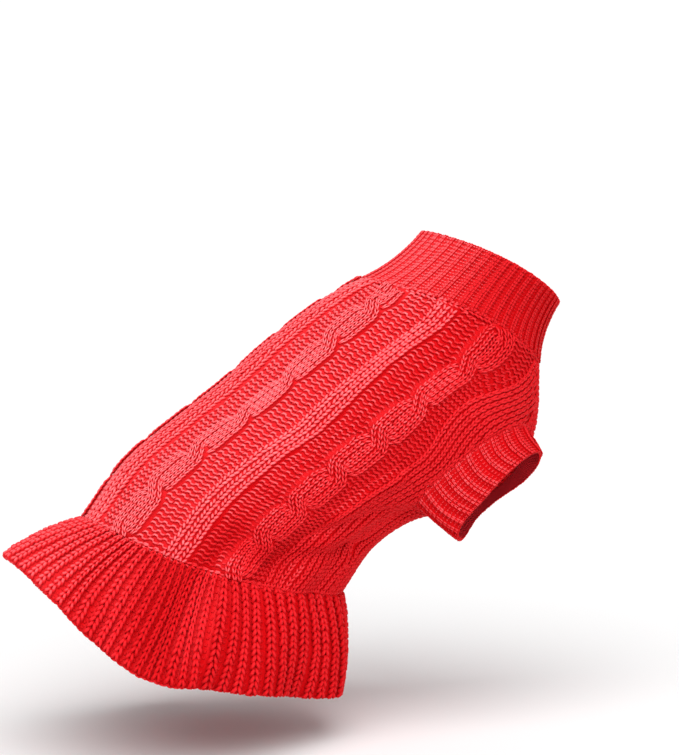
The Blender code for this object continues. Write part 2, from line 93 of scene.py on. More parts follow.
HALF_GIRTH = 240.0      # of the body, where shares of the half ring are turned to millimetres
BAND_ALONG = (0.0, 0.20, 0.50, 0.78, 1.0)   # where the ends of the bands are given


class Knit(Enum):
    """The kinds of knitting on the body."""

    KNIT = "knit"
    PURL = "purl"
    CABLE = "cable"
    PLAIN = "plain"


RISE = {Knit.KNIT: 1.0, Knit.PURL: 0.0, Knit.CABLE: 0.0, Knit.PLAIN: 0.5}


@dataclass(frozen=True)
class Ring:
    """A ring of the body: the ends of its chord in the mirror plane, its width and its lead."""

    along: float
    back_x: float
    back_z: float
    belly_x: float
    belly_z: float
    half_width: float
    widest: float
    lead: float


@dataclass(frozen=True)
class Band:
    """A band of knitting: how many wales it has and where it ends at five places along the body."""

    kind: Knit
    wales: int
    ends: tuple[float, ...]


@dataclass(frozen=True)
class Fold:
    """A straight hollow on the body, from one place to another."""

    along_0: float
    around_0: float
    along_1: float
    around_1: float
    half_width: float
    depth: float


@dataclass(frozen=True)
class Wave:
    """A crest or hollow of the skirt's flare."""

    around: float
    half_width: float
    height: float


@dataclass(frozen=True)
class Bend:
    """A point of a stitch's yarn: across in wales, along in courses, lift in mm, share of the yarn."""

    across: float
    along: float
    lift: float
    swell: float


Strand = tuple[Bend, ...]
RING_SIZES = tuple(name for name in Ring.__dataclass_fields__ if name != "along")


def strand(*bends: tuple[float, ...]) -> Strand:
    """The yarn that shows of a stitch, from rows of numbers."""
    return tuple(Bend(*bend) for bend in bends)


def both_legs(leg: Strand) -> tuple[Strand, Strand]:
    """The two mirrored legs of a knit stitch."""
    return leg, tuple(replace(bend, across=-bend.across) for bend in leg)


RINGS = (
    Ring(0.00, -196, -143, -28, -199, 63, 0.45, -8),
    Ring(0.15, -168, -109, -7, -172, 66, 0.46, -4),
    Ring(0.30, -135, -85, 19, -157, 67, 0.47, -1),
    Ring(0.45, -102, -63, 48, -152, 66, 0.47, 1),
    Ring(0.60, -71, -39, 78, -145, 65, 0.47, 2),
    Ring(0.75, -41, -19, 102, -128, 62, 0.47, 3),
    Ring(0.88, -17, -6, 115, -101, 57, 0.46, 5),
    Ring(1.00, 0, 0, 117, -61, 52, 0.45, 7),
)
HEM = Ring(1.00, -255, -160, -31, -255, 90, 0.39, -33)
COLLAR_TOP = Ring(1.00, 45, 30, 133, -19, 43, 0.46, 3)

BANDS = (
    Band(Knit.KNIT, 3, (0.042, 0.055, 0.055, 0.050, 0.050)),
    Band(Knit.PURL, 3, (0.085, 0.108, 0.122, 0.097, 0.092)),
    Band(Knit.CABLE, 6, (0.168, 0.188, 0.178, 0.180, 0.190)),
    Band(Knit.PURL, 3, (0.250, 0.258, 0.250, 0.257, 0.290)),
    Band(Knit.KNIT, 3, (0.315, 0.328, 0.312, 0.304, 0.375)),
    Band(Knit.PURL, 3, (0.405, 0.415, 0.388, 0.400, 0.470)),
    Band(Knit.CABLE, 6, (0.490, 0.517, 0.490, 0.480, 0.640)),
    Band(Knit.PURL, 3, (0.535, 0.572, 0.562, 0.530, 0.780)),
    Band(Knit.PLAIN, 22, (0.790, 0.770, 0.770, 0.770, 0.860)),
)

FOLDS = (
    Fold(0.02, 0.72, 0.34, 0.76, 10, 3.5),
    Fold(0.30, 0.69, 0.11, 0.55, 7, 3.3),
    Fold(0.15, 0.77, 0.06, 0.53, 7, 4.5),
    Fold(0.07, 0.44, 0.04, 0.58, 9, 4.0),
    Fold(0.09, 0.39, 0.01, 0.37, 8, 3.5),
    Fold(0.43, 0.58, 0.23, 0.59, 6, -2.5),
    Fold(0.05, -0.70, 0.30, -0.77, 11, 4.5),
    Fold(0.02, -0.58, 0.13, -0.60, 10, 3.0),
    Fold(0.88, 0.10, 0.97, 0.16, 7, 2.0),
    Fold(0.86, -0.12, 0.96, -0.17, 7, 2.0),
)

# Where a band's end is dragged aside: band, place along, half length, shift
DRIFTS = ((3, 0.40, 0.09, 0.014), (4, 0.44, 0.09, 0.010))

WAVES = tuple(Wave(*wave) for wave in (
    (0.06, 0.055, 1.0), (0.17, 0.050, 4.5), (0.29, 0.045, -5.0), (0.40, 0.055, 5.0), (0.52, 0.045, -4.0),
    (0.62, 0.050, 4.0), (0.73, 0.045, -4.5), (0.85, 0.055, 4.0), (1.00, 0.060, -2.5), (-0.10, 0.070, -7.0),
    (-0.20, 0.055, -4.5), (-0.30, 0.150, -12.0), (-0.33, 0.050, 3.5), (-0.45, 0.055, -4.5),
    (-0.58, 0.045, 4.0), (-0.68, 0.050, -4.0), (-0.80, 0.050, 4.0), (-0.91, 0.045, -3.5),
))
WAVE_GROWTH = 1.4       # how late between seam and rim the waves open
CREASE_SWELL = 0.92     # how much of its arch a crease has gone through at the hem

# Creases of the skirt: where each starts at the waist and ends at the hem, how wide and how deep
SKIRT_CREASES = ((0.335, 0.415, 0.050, 13.0), (0.235, 0.310, 0.035, -3.0), (0.430, 0.510, 0.035, -3.0),
                 (-0.33, -0.45, 0.035, 4.0), (-0.62, -0.68, 0.030, 3.0))

# The skirt's ribs are gathered unevenly: where they lie at the waist and at the hem, by their share
RIB_SHARE = (0.000, 0.167, 0.278, 0.364, 0.500, 0.611, 0.722, 0.833, 1.000)
RIB_WAIST = (0.000, 0.145, 0.220, 0.280, 0.375, 0.455, 0.600, 0.760, 1.000)
RIB_HEM = (0.000, 0.175, 0.265, 0.335, 0.440, 0.545, 0.680, 0.810, 1.000)

# How much longer the skirt hangs than the plain ring of its hem, at shares of the half ring
HEM_DROP_AT = (0.00, 0.19, 0.25, 0.31, 0.38, 0.44, 0.50, 0.56, 0.62, 0.69, 0.75, 0.81, 0.88, 0.94, 1.00)
HEM_DROP = (0.0, 0.0, 4.0, 5.5, 5.0, 2.5, 0.0, -2.0, -4.0, -1.5, 1.5, 3.0, 6.0, 5.0, 3.0)

# How far the skirt is hitched up on the left, at shares of the left half ring
HITCH_AT = (0.00, 0.06, 0.12, 0.19, 0.25, 0.31, 0.38, 0.45, 0.52, 0.62)
HITCH = (0.0, 2.0, 6.0, 10.5, 14.5, 17.0, 17.0, 13.0, 7.0, 0.0)

# The armholes, as shares of the body's length and of its half ring
HOLE_REAR, HOLE_FRONT, HOLE_RISE, HOLE_DROP = 0.38, 0.83, 0.12, 0.13

# A knit stitch shows its two legs: each comes from under the stitch below and dives under the next
KNIT_LEGS = both_legs(strand(
    (0.27, -0.80, -1.60, 0.0), (0.14, -0.53, -0.75, 0.85), (0.16, -0.18, 0.00, 1.0),
    (0.28, 0.20, 0.00, 1.0), (0.36, 0.55, -0.75, 0.85), (0.27, 0.80, -1.60, 0.0)))
# The legs of the plain sides lie close together
PLAIN_LEGS = both_legs(strand(
    (0.22, -0.80, -1.60, 0.0), (0.11, -0.53, -0.75, 0.85), (0.12, -0.18, 0.00, 1.0),
    (0.23, 0.20, 0.00, 1.0), (0.31, 0.55, -0.75, 0.85), (0.22, 0.80, -1.60, 0.0)))
# A purl stitch shows the head of its loop and the foot it shares with its neighbour
PURL_HEAD = strand(
    (-0.38, -0.42, -1.60, 0.0), (-0.30, -0.12, -0.55, 0.90), (-0.13, 0.20, 0.00, 1.0),
    (0.13, 0.20, 0.00, 1.0), (0.30, -0.12, -0.55, 0.90), (0.38, -0.42, -1.60, 0.0))
PURL_FOOT = tuple(replace(bend, across=bend.across + 0.5, along=-bend.along, lift=bend.lift - 0.25)
                  for bend in PURL_HEAD)
# The finer yarn of collar and sleeves makes do with fewer points
FINE_LEGS = both_legs(strand(
    (0.12, -0.74, -1.70, 0.0), (0.10, -0.34, -0.20, 1.0), (0.24, 0.30, 0.00, 1.0), (0.22, 0.72, -1.70, 0.0)))
FINE_PURL = strand(
    (-0.40, -0.50, -1.00, 0.0), (-0.20, 0.20, 0.00, 1.0), (0.20, 0.20, 0.00, 1.0), (0.40, -0.50, -1.00, 0.0))


def smooth_step(x: np.ndarray) -> np.ndarray:
    """Cubic step from 0 to 1."""
    x = np.clip(x, 0.0, 1.0)
    return x * x * (3 - 2 * x)


def unit(vectors: np.ndarray) -> np.ndarray:
    """Vectors of length one."""
    return vectors / np.linalg.norm(vectors, axis=-1, keepdims=True)


def run_length(points: np.ndarray) -> np.ndarray:
    """Length of a path up to each of its points."""
    return np.concatenate([[0], np.cumsum(np.linalg.norm(np.diff(points, axis=0), axis=1))])


def hermite(knots: tuple[float, ...], values: tuple[float, ...], x: np.ndarray) -> np.ndarray:
    """Smooth curve through the values at uneven knots.

    Args:
        knots: places of the values, rising.
        values: one value for each knot.
        x: where the curve is read.

    Returns:
        The curve's values at x.
    """
    knots, values = np.asarray(knots, float), np.asarray(values, float)
    slope = np.gradient(values, knots)
    i = np.clip(np.searchsorted(knots, x) - 1, 0, len(knots) - 2)
    step = knots[i + 1] - knots[i]
    t = (x - knots[i]) / step
    return (values[i] * (1 + 2 * t) * (1 - t) ** 2 + values[i + 1] * t * t * (3 - 2 * t)
            + step * (slope[i] * t * (1 - t) ** 2 - slope[i + 1] * t * t * (1 - t)))


def half_ring(ring: dict[str, np.ndarray], turn: np.ndarray) -> np.ndarray:
    """Points of the right half of rings.

    Args:
        ring: the rings' values as columns, by the names of Ring.
        turn: angles from the spine.

    Returns:
        Points in millimetres, rings by angles by three.
    """
    back = np.stack([ring["back_x"], 0 * ring["back_x"], ring["back_z"]], -1)
    belly = np.stack([ring["belly_x"], 0 * ring["belly_x"], ring["belly_z"]], -1)
    chord = belly - back
    ahead = unit(np.stack([-chord[..., 2], 0 * chord[..., 0], chord[..., 0]], -1))
    share = np.where(turn <= math.pi / 2, ring["widest"] * (1 - np.cos(turn)),
                     ring["widest"] - (1 - ring["widest"]) * np.cos(turn))
    point = back + share[..., None] * chord + (ring["lead"] * np.sin(turn) ** 2)[..., None] * ahead
    point[..., 1] = -ring["half_width"] * np.sin(turn)
    return point


def spaced_ring(ring: dict[str, np.ndarray], around: np.ndarray) -> np.ndarray:
    """Points of whole rings at shares of the half ring's length, right side positive.

    Args:
        ring: the rings' values, by the names of Ring.
        around: the shares.

    Returns:
        Points in millimetres, rings by shares by three.
    """
    turn = np.linspace(0, math.pi, 181)
    columns = {name: np.asarray(value, float).reshape(-1, 1) + 0 * turn for name, value in ring.items()}
    dense = half_ring(columns, turn[None] + 0 * columns["back_x"])
    step = np.linalg.norm(np.diff(dense, axis=1), axis=2)
    length = np.concatenate([np.zeros((len(dense), 1)), np.cumsum(step, axis=1)], axis=1)
    out = np.empty((len(dense), len(around), 3))
    for k, points in enumerate(dense):
        for axis in range(3):
            out[k, :, axis] = np.interp(np.abs(around) * length[k, -1], length[k], points[:, axis])
    out[..., 1] *= np.where(around < 0, -1, 1)
    return out


def normals_of(points: np.ndarray) -> np.ndarray:
    """Unit normals of a grid, pointing away from the middle of its rows.

    Args:
        points: rows by columns by three.

    Returns:
        As many normals.
    """
    d_along = np.gradient(points, axis=0)
    d_round = np.empty_like(points)
    d_round[:, 1:-1] = points[:, 2:] - points[:, :-2]
    d_round[:, 0] = d_round[:, -1] = points[:, 1] - points[:, -2]
    normal = unit(np.cross(d_round, d_along))
    outward = points - points.mean(axis=1, keepdims=True)
    return normal if (normal * outward).sum() > 0 else -normal


def off_segment(x: np.ndarray, y: np.ndarray, fold: Fold, length: float) -> np.ndarray:
    """Distance of places from a fold's straight run.

    Args:
        x: the places' millimetres along the body.
        y: their millimetres around it.
        fold: the fold.
        length: the body's length.

    Returns:
        Millimetres.
    """
    x0, y0 = fold.along_0 * length, fold.around_0 * HALF_GIRTH
    x1, y1 = fold.along_1 * length, fold.around_1 * HALF_GIRTH
    run = (x1 - x0) ** 2 + (y1 - y0) ** 2
    t = np.clip(((x - x0) * (x1 - x0) + (y - y0) * (y1 - y0)) / run, 0, 1)
    return np.hypot(x - x0 - t * (x1 - x0), y - y0 - t * (y1 - y0))


class Skin:
    """The inner surface of back and belly on a fine grid, with its normals, courses and girths."""

    def __init__(self) -> None:
        """Shape the rings, press the folds in and number the courses."""
        self.along, self.around = np.linspace(0, 1, 161), np.linspace(-1, 1, 321)
        knots = tuple(ring.along for ring in RINGS)
        ring = {name: hermite(knots, tuple(getattr(r, name) for r in RINGS), self.along) for name in RING_SIZES}
        self._measure(spaced_ring(ring, self.around))
        length = self.courses[-1].mean()
        x, y = np.meshgrid(self.along * length, self.around * HALF_GIRTH, indexing="ij")
        push = -sum(fold.depth * np.exp(-(off_segment(x, y, fold, length) / fold.half_width) ** 2)
                    for fold in FOLDS)
        # Painted shade: stitches in a fold are coloured darker for its depth
        self.painted_fold_shade = -FOLD_SHADE * push
        self._measure(self.points + push[..., None] * self.normals)
        lean = COURSE_LEAN * np.minimum(np.abs(self.around) / COURSE_LEAN_UNTIL, 1.0)
        self.courses = self.courses + lean * smooth_step(self.courses / COURSE_LEAN_START)

    def _measure(self, points: np.ndarray) -> None:
        """Keep points with their normals, their lengths along and the half girth of each row.

        Args:
            points: the surface, rows along by columns around by three.
        """
        self.points, self.normals = points, normals_of(points)
        step = np.linalg.norm(np.diff(points, axis=0), axis=2)
        self.courses = np.vstack([np.zeros((1, points.shape[1])), np.cumsum(step, axis=0)])
        self.girths = np.linalg.norm(np.diff(points, axis=1), axis=2).sum(axis=1) / 2

    def at(self, along: np.ndarray, around: np.ndarray, grid: np.ndarray) -> np.ndarray:
        """Bilinear values of one of the grids.

        Args:
            along: the places' shares of the length.
            around: their shares of the half ring.
            grid: the grid, of numbers or of vectors.

        Returns:
            A value for each place.
        """
        along, around = np.broadcast_arrays(np.asarray(along, float), np.asarray(around, float))
        x = np.clip(along, 0, 1) * (len(self.along) - 1)
        y = (np.clip(around, -1, 1) + 1) / 2 * (len(self.around) - 1)
        i = np.minimum(x.astype(int), len(self.along) - 2)
        j = np.minimum(y.astype(int), len(self.around) - 2)
        fx, fy = x - i, y - j
        if grid.ndim == 3:
            fx, fy = fx[..., None], fy[..., None]
        return (grid[i, j] * (1 - fx) * (1 - fy) + grid[i + 1, j] * fx * (1 - fy)
                + grid[i, j + 1] * (1 - fx) * fy + grid[i + 1, j + 1] * fx * fy)

    def point(self, along: np.ndarray, around: np.ndarray) -> np.ndarray:
        """Places on the surface."""
        return self.at(along, around, self.points)

    def face(self, along: np.ndarray, around: np.ndarray) -> tuple[np.ndarray, np.ndarray]:
        """Places on the surface and its outward unit normals there."""
        return self.point(along, around), unit(self.at(along, around, self.normals))

    def course(self, along: np.ndarray, around: np.ndarray) -> np.ndarray:
        """The course, in millimetres of knitting from the waist, that passes a place."""
        return self.at(along, around, self.courses)

    def girth(self, along: np.ndarray) -> np.ndarray:
        """Half the girth at places along the body."""
        return np.interp(along, self.along, self.girths)


def band_ends(along: np.ndarray) -> np.ndarray:
    """Where the bands end.

    Args:
        along: places along the body.

    Returns:
        Shares of the half ring, bands on a new last axis.
    """
    ends = np.stack([hermite(BAND_ALONG, band.ends, along) for band in BANDS], axis=-1)
    for band, place, half, shift in DRIFTS:
        ends[..., band] += shift * np.exp(-((along - place) / half) ** 2)
    return ends


def armhole_edge(reach: float, along: np.ndarray) -> np.ndarray:
    """Where the side edge of a panel lies, at places along the body.

    Args:
        reach: how far the panel's half of the armhole goes from the side seam.
        along: places along the body.

    Returns:
        Shares of the half ring.
    """
    middle, half = (HOLE_REAR + HOLE_FRONT) / 2, (HOLE_FRONT - HOLE_REAR) / 2
    bow = np.sqrt(np.clip(1 - ((along - middle) / half) ** 2, 0, 1))
    return band_ends(along)[..., -1] + reach * bow


def armhole_path(reach: float, steps: int) -> np.ndarray:
    """Half of an armhole as places in even steps, from its rear end to its front end.

    Args:
        reach: how far it goes from the side seam.
        steps: how many steps it has.

    Returns:
        Rows of along and around.
    """
    turn = np.linspace(0, math.pi, 91)
    middle, half = (HOLE_REAR + HOLE_FRONT) / 2, (HOLE_FRONT - HOLE_REAR) / 2
    along = middle - half * np.cos(turn)
    path = np.stack([along, band_ends(along)[:, -1] + reach * np.sin(turn)], axis=1)
    length = run_length(path * HALF_GIRTH)
    places = np.linspace(0, length[-1], steps + 1)
    return np.stack([np.interp(places, length, path[:, k]) for k in (0, 1)], axis=1)


def armhole_loop(steps: int) -> np.ndarray:
    """A whole armhole as places, up its outer half and back down its inner half."""
    upper, lower = armhole_path(-HOLE_RISE, steps), armhole_path(HOLE_DROP, steps)
    return np.vstack([upper, lower[-2:0:-1]])


def strand_sway(course: np.ndarray) -> tuple[np.ndarray, np.ndarray]:
    """Where the strands of a cable are.

    Args:
        course: millimetres of knitting from the waist.

    Returns:
        How far each strand's middle is from the cable's, and how near the crossing is, from 0 to 1.
    """
    turn = (course / CABLE_PITCH + 0.5) % 1.0 - 0.5
    sway = np.clip(turn / STRAND_REACH, -1, 1) * math.pi / 2
    return 0.5 * np.sin(sway), np.cos(sway) ** 2


def strand_height(front: np.ndarray | bool, crossing: np.ndarray) -> np.ndarray:
    """How high a strand of a cable stands, as a share of its rise: the rear one dips at a crossing."""
    return np.where(front, STRAND_LEVEL + 0.15 * crossing, STRAND_LEVEL - STRAND_DIP * crossing)


def panel_rise(along: np.ndarray, around: np.ndarray, course: np.ndarray) -> np.ndarray:
    """Height of the knitting above the purl ground on the back and flanks.

    Args:
        along: places along the body.
        around: places around it.
        course: millimetres of knitting from the waist there.

    Returns:
        Millimetres.
    """
    place, ends = np.abs(around), band_ends(along)
    soft = EDGE_SOFT / HALF_GIRTH
    rise = np.zeros_like(place)
    begins = np.full_like(place, -1.0)
    middle, crossing = strand_sway(course)
    for k, band in enumerate(BANDS):
        inside = smooth_step((place - begins) / (2 * soft) + 0.5)
        if k + 1 < len(BANDS):
            inside *= smooth_step((ends[..., k] - place) / (2 * soft) + 0.5)
        rise += RISE[band.kind] * inside
        if band.kind is Knit.CABLE:
            across = (2 * place - begins - ends[..., k]) / (ends[..., k] - begins)
            for side in (-1, 1):
                dome = np.sqrt(np.clip(1 - ((across - side * middle) / STRAND_HALF) ** 2, 0, 1))
                rise = np.maximum(rise, CABLE_RISE * strand_height(side < 0, crossing) * dome)
        begins = ends[..., k]
    return rise


@dataclass
class Wale:
    """A column of stitches: a line on the cloth, with its sideways step, normal, course and top."""

    line: np.ndarray
    across: np.ndarray
    normal: np.ndarray
    course: np.ndarray
    top: np.ndarray
    depth: np.ndarray | float = 0.0     # painted shade of a fold there, in shares of the yarn

    def read(self, values: np.ndarray, at: np.ndarray) -> np.ndarray:
        """Values of one of the arrays between its points.

        Args:
            values: the array.
            at: the courses, which may be fractions.

        Returns:
            A value for each course.
        """
        if values.ndim == 1:
            return np.interp(at, self.course, values)
        return np.stack([np.interp(at, self.course, values[:, axis]) for axis in range(3)], axis=-1)

    def thin(self, at: np.ndarray, widest: float) -> np.ndarray:
        """Share of the yarn's full radius at courses: less where stitches are narrower than the widest."""
        width = self.read(np.linalg.norm(self.across, axis=1), at)
        return np.clip(width / widest, 0.55, 1.0)


@dataclass
class YarnWork:
    """Yarn on its way to being a mesh: the points of open strands with a radius for each point."""

    radius: float
    sides: int
    seed: int = SEED
    widest: float = 0.1         # stitches narrower than this have thinner yarn
    points: list[np.ndarray] = field(default_factory=list)
    radii: list[np.ndarray] = field(default_factory=list)
    shade_depths: list[np.ndarray] = field(default_factory=list)
    facings: list[np.ndarray] = field(default_factory=list)
    strands: list[tuple[int, int]] = field(default_factory=list)

    def __post_init__(self) -> None:
        """Start the unevenness of the stitches from a fixed seed."""
        self.random = np.random.default_rng(self.seed)

    def knit(self, wale: Wale, rows: np.ndarray, legs: tuple[Strand, ...], shade: float = 0.0) -> None:
        """Lay one stitch on each of a wale's courses.

        Args:
            wale: the column of stitches.
            rows: the courses that have a stitch.
            legs: the strands that show of such a stitch.
            shade: painted shade, how much darker than others these stitches are coloured, in shares of the
                yarn.
        """
        if not len(rows):
            return
        nudge = self.random.normal(0.0, 1.0, (4, len(rows), 1))
        for leg in legs:
            bends = np.array([(b.across, b.along, b.lift, b.swell) for b in leg])
            at = rows[:, None] + bends[:, 1] + UNEVEN_ALONG * nudge[0]
            side = bends[:, 0] * (1 + UNEVEN_WIDTH * nudge[1]) + UNEVEN_ASIDE * nudge[2]
            radius = self.radius * wale.thin(at, self.widest)
            lift = wale.read(wale.top, at) + radius * (bends[:, 2] - 1 + UNEVEN_LIFT * nudge[3])
            facing = unit(wale.read(wale.normal, at))
            place = (wale.read(wale.line, at) + side[..., None] * wale.read(wale.across, at)
                     + lift[..., None] * facing)
            self.facings.append(facing.reshape(-1, 3))
            self.strands.append((len(rows), len(leg)))
            self.points.append(place.reshape(-1, 3))
            self.radii.append((radius * bends[:, 3]).reshape(-1))
            # Painted shade: the colour darkens where the yarn dives, where it lies in a fold and by its shade
            fold = wale.read(np.broadcast_to(wale.depth, wale.course.shape), at)
            self.shade_depths.append((shade + fold - bends[:, 2]).reshape(-1))

    def chain(self, path: np.ndarray, across: np.ndarray, normal: np.ndarray, stitch: float,
              shade: float = 0.0) -> None:
        """Lay a chain of stitches along a closed path, as a seam or a bound-off edge has it.

        Args:
            path: the tops of the chain's stitches, in millimetres, without the first point again.
            across: the way across the chain, as long as it is wide.
            normal: the way the stitches face.
            stitch: length of a stitch.
            shade: painted shade, how much darker the chain is coloured, in shares of the yarn.
        """
        path, across, normal = (np.vstack([a, a[:2]]) for a in (path, across, normal))
        run = run_length(path)
        count = max(3, round(run[-2] / stitch))
        wale = Wale(path, across, normal, run / run[-2] * count, np.zeros(len(run)))
        self.knit(wale, np.arange(count) + 0.9, KNIT_LEGS, shade)

    def piece(self, name: str, finish: "YarnFinish") -> bpy.types.Object:
        """Turn the strands into one mesh of yarn.

        Args:
            name: the piece's name.
            finish: the yarn's material.

        Returns:
            The finished piece.
        """
        edges, start = [], 0
        for rows, bends in self.strands:
            ids = start + np.arange(rows * bends).reshape(rows, bends)
            edges.append(np.stack([ids[:, :-1], ids[:, 1:]], axis=-1).reshape(-1, 2))
            start += rows * bends
        mesh = bpy.data.meshes.new(name)
        mesh.from_pydata(np.vstack(self.points) * MM, np.vstack(edges), [])
        for label, kind, slot, values in (("swell", "FLOAT", "value", np.concatenate(self.radii) * MM),
                                          ("depth", "FLOAT", "value", np.concatenate(self.shade_depths)),
                                          ("facing", "FLOAT_VECTOR", "vector", np.vstack(self.facings))):
            mesh.attributes.new(label, kind, "POINT").data.foreach_set(slot, values.reshape(-1))
        source = bpy.data.objects.new(name + "_strands", mesh)
        bpy.context.scene.collection.objects.link(source)
        return YarnSpinner(self.sides).spin(source, name, finish)


Feed = bpy.types.NodeSocket | bpy.types.Material | float | str | tuple[float, ...]


class NodePen:
    """Draws nodes in one tree, each with its settings and with its inputs as values or links."""

    def __init__(self, tree: bpy.types.NodeTree) -> None:
        """Take the tree to draw in."""
        self.tree = tree

    def feed(self, node: bpy.types.Node, inputs: dict[str | int, Feed]) -> None:
        """Give a node its inputs.

        Args:
            node: the node.
            inputs: by name or number, a value or the socket to link.
        """
        for name, value in inputs.items():
            if isinstance(value, bpy.types.NodeSocket):
                self.tree.links.new(value, node.inputs[name])
            else:
                node.inputs[name].default_value = value

    def node(self, kind: str, output: str, inputs: dict[str | int, Feed] | None = None,
             **settings: str) -> bpy.types.NodeSocket:
        """Draw a node.

        Args:
            kind: its type.
            output: the name of the output that is wanted.
            inputs: what its inputs are given.
            settings: its own settings.

        Returns:
            The output's socket.
        """
        node = self.tree.nodes.new(kind)
        for name, value in settings.items():
            setattr(node, name, value)
        self.feed(node, inputs or {})
        return node.outputs[output]

    def math(self, operation: str, first: Feed, second: Feed | None = None) -> bpy.types.NodeSocket:
        """A sum on one or two sockets or numbers."""
        given = {k: value for k, value in enumerate((first, second)) if value is not None}
        return self.node("ShaderNodeMath", "Value", given, operation=operation)

    def dot(self, first: Feed, second: Feed) -> bpy.types.NodeSocket:
        """How far two directions agree, from -1 to 1."""
        return self.node("ShaderNodeVectorMath", "Value", {0: first, 1: second}, operation="DOT_PRODUCT")

    def spread(self, value: Feed, ranges: tuple[Feed, ...], way: str = "LINEAR") -> bpy.types.NodeSocket:
        """Move a value from one range to another, given as from min, from max, to min and to max."""
        given = dict(zip(("From Min", "From Max", "To Min", "To Max"), ranges))
        return self.node("ShaderNodeMapRange", "Result", {"Value": value, **given}, interpolation_type=way)

    def noise(self, scale: float, detail: float, vector: bpy.types.NodeSocket) -> bpy.types.NodeSocket:
        """Soft noise."""
        return self.node("ShaderNodeTexNoise", "Fac", {"Scale": scale, "Detail": detail, "Vector": vector})

    def bump(self, height: Feed, strength: float, depth: float) -> bpy.types.NodeSocket:
        """A normal that follows a height."""
        return self.node("ShaderNodeBump", "Normal",
                         {"Strength": strength, "Distance": depth, "Height": height})

    def ramp(self, share: Feed, stops: tuple[tuple[float, tuple[float, ...]], ...],
             way: str = "LINEAR") -> bpy.types.NodeSocket:
        """A colour that runs through stops.

        Args:
            share: where on the ramp it is read.
            stops: places on the ramp with their colours, rising.
            way: how it runs between them.

        Returns:
            The colour's socket.
        """
        colour = self.node("ShaderNodeValToRGB", "Color", {"Fac": share})
        band = colour.node.color_ramp
        band.interpolation = way
        made = [band.elements[0], *(band.elements.new(place) for place, _ in stops[1:-1]), band.elements[-1]]
        for element, (place, tint) in zip(made, stops):
            element.position, element.color = place, (*tint, 1.0)
        return colour


@dataclass(frozen=True)
class YarnSpinner:
    """The node tree that gives strands the round of a yarn."""

    sides: int

    def tree(self) -> bpy.types.NodeTree:
        """Build the tree, or find it if it is built.

        Returns:
            The node tree, whose inputs are Strands, Sides and Yarn.
        """
        name = "spin_yarn"
        if name in bpy.data.node_groups:
            return bpy.data.node_groups[name]
        tree = bpy.data.node_groups.new(name, "GeometryNodeTree")
        for label, kind in (("Strands", "Geometry"), ("Sides", "Int"), ("Yarn", "Material")):
            tree.interface.new_socket(label, in_out="INPUT", socket_type="NodeSocket" + kind)
        tree.interface.new_socket("Stitches", in_out="OUTPUT", socket_type="NodeSocketGeometry")
        pen, given = NodePen(tree), tree.nodes.new("NodeGroupInput").outputs
        curve = pen.node("GeometryNodeMeshToCurve", "Curve", {"Mesh": given["Strands"]})
        ring = pen.node("GeometryNodeCurvePrimitiveCircle", "Curve",
                        {"Resolution": given["Sides"], "Radius": 1.0})
        run = pen.node("GeometryNodeSplineParameter", "Length")
        turn = pen.node("GeometryNodeInputPosition", "Position")
        curve, ring = (
            pen.node("GeometryNodeStoreNamedAttribute", "Geometry",
                     {"Geometry": path, "Name": label, "Value": value}, data_type=kind, domain="POINT")
            for path, label, value, kind in ((curve, "run", run, "FLOAT"),
                                             (ring, "turn", turn, "FLOAT_VECTOR")))
        swell = pen.node("GeometryNodeInputNamedAttribute", "Attribute", {"Name": "swell"}, data_type="FLOAT")
        yarn = pen.node("GeometryNodeCurveToMesh", "Mesh",
                        {"Curve": curve, "Profile Curve": ring, "Scale": swell})
        for kind, inputs in (("MergeByDistance", {"Distance": 1e-6}), ("SetShadeSmooth", {}),
                             ("RealizeInstances", {}), ("SetMaterial", {"Material": given["Yarn"]})):
            yarn = pen.node("GeometryNode" + kind, "Geometry", {"Geometry": yarn, **inputs})
        pen.feed(tree.nodes.new("NodeGroupOutput"), {"Stitches": yarn})
        return tree

    def spin(self, source: bpy.types.Object, name: str, finish: "YarnFinish") -> bpy.types.Object:
        """Run the tree on strands and keep its result as a plain mesh.

        Args:
            source: the object that holds the strands, which is removed.
            name: the new piece's name.
            finish: the yarn's material.

        Returns:
            The piece.
        """
        modifier = source.modifiers.new("spin", "NODES")
        modifier.node_group = self.tree()
        by_name = {item.name: item.identifier for item in modifier.node_group.interface.items_tree}
        modifier[by_name["Sides"]] = self.sides
        modifier[by_name["Yarn"]] = finish.material()
        ready = source.evaluated_get(bpy.context.evaluated_depsgraph_get())
        mesh = bpy.data.meshes.new_from_object(ready)
        mesh.name = name
        mesh.materials.clear()
        mesh.materials.append(finish.material())
        bpy.data.objects.remove(source)
        piece = bpy.data.objects.new(name, mesh)
        bpy.context.scene.collection.objects.link(piece)
        return piece


@dataclass(frozen=True)
class Finish:
    """A material that is built once, however many pieces wear it."""

    name: str

    def material(self) -> bpy.types.Material:
        """Build the material, or find it if it is built.

        Returns:
            The material.
        """
        if self.name in bpy.data.materials:
            return bpy.data.materials[self.name]
        material = bpy.data.materials.new(self.name)
        material.use_nodes = True
        pen = NodePen(material.node_tree)
        pen.feed(pen.tree.nodes["Principled BSDF"], self.looks(pen))
        return material

    def looks(self, pen: NodePen) -> dict[str, Feed]:
        """What the shader's sockets are given, after the nodes for it are drawn."""
        raise NotImplementedError


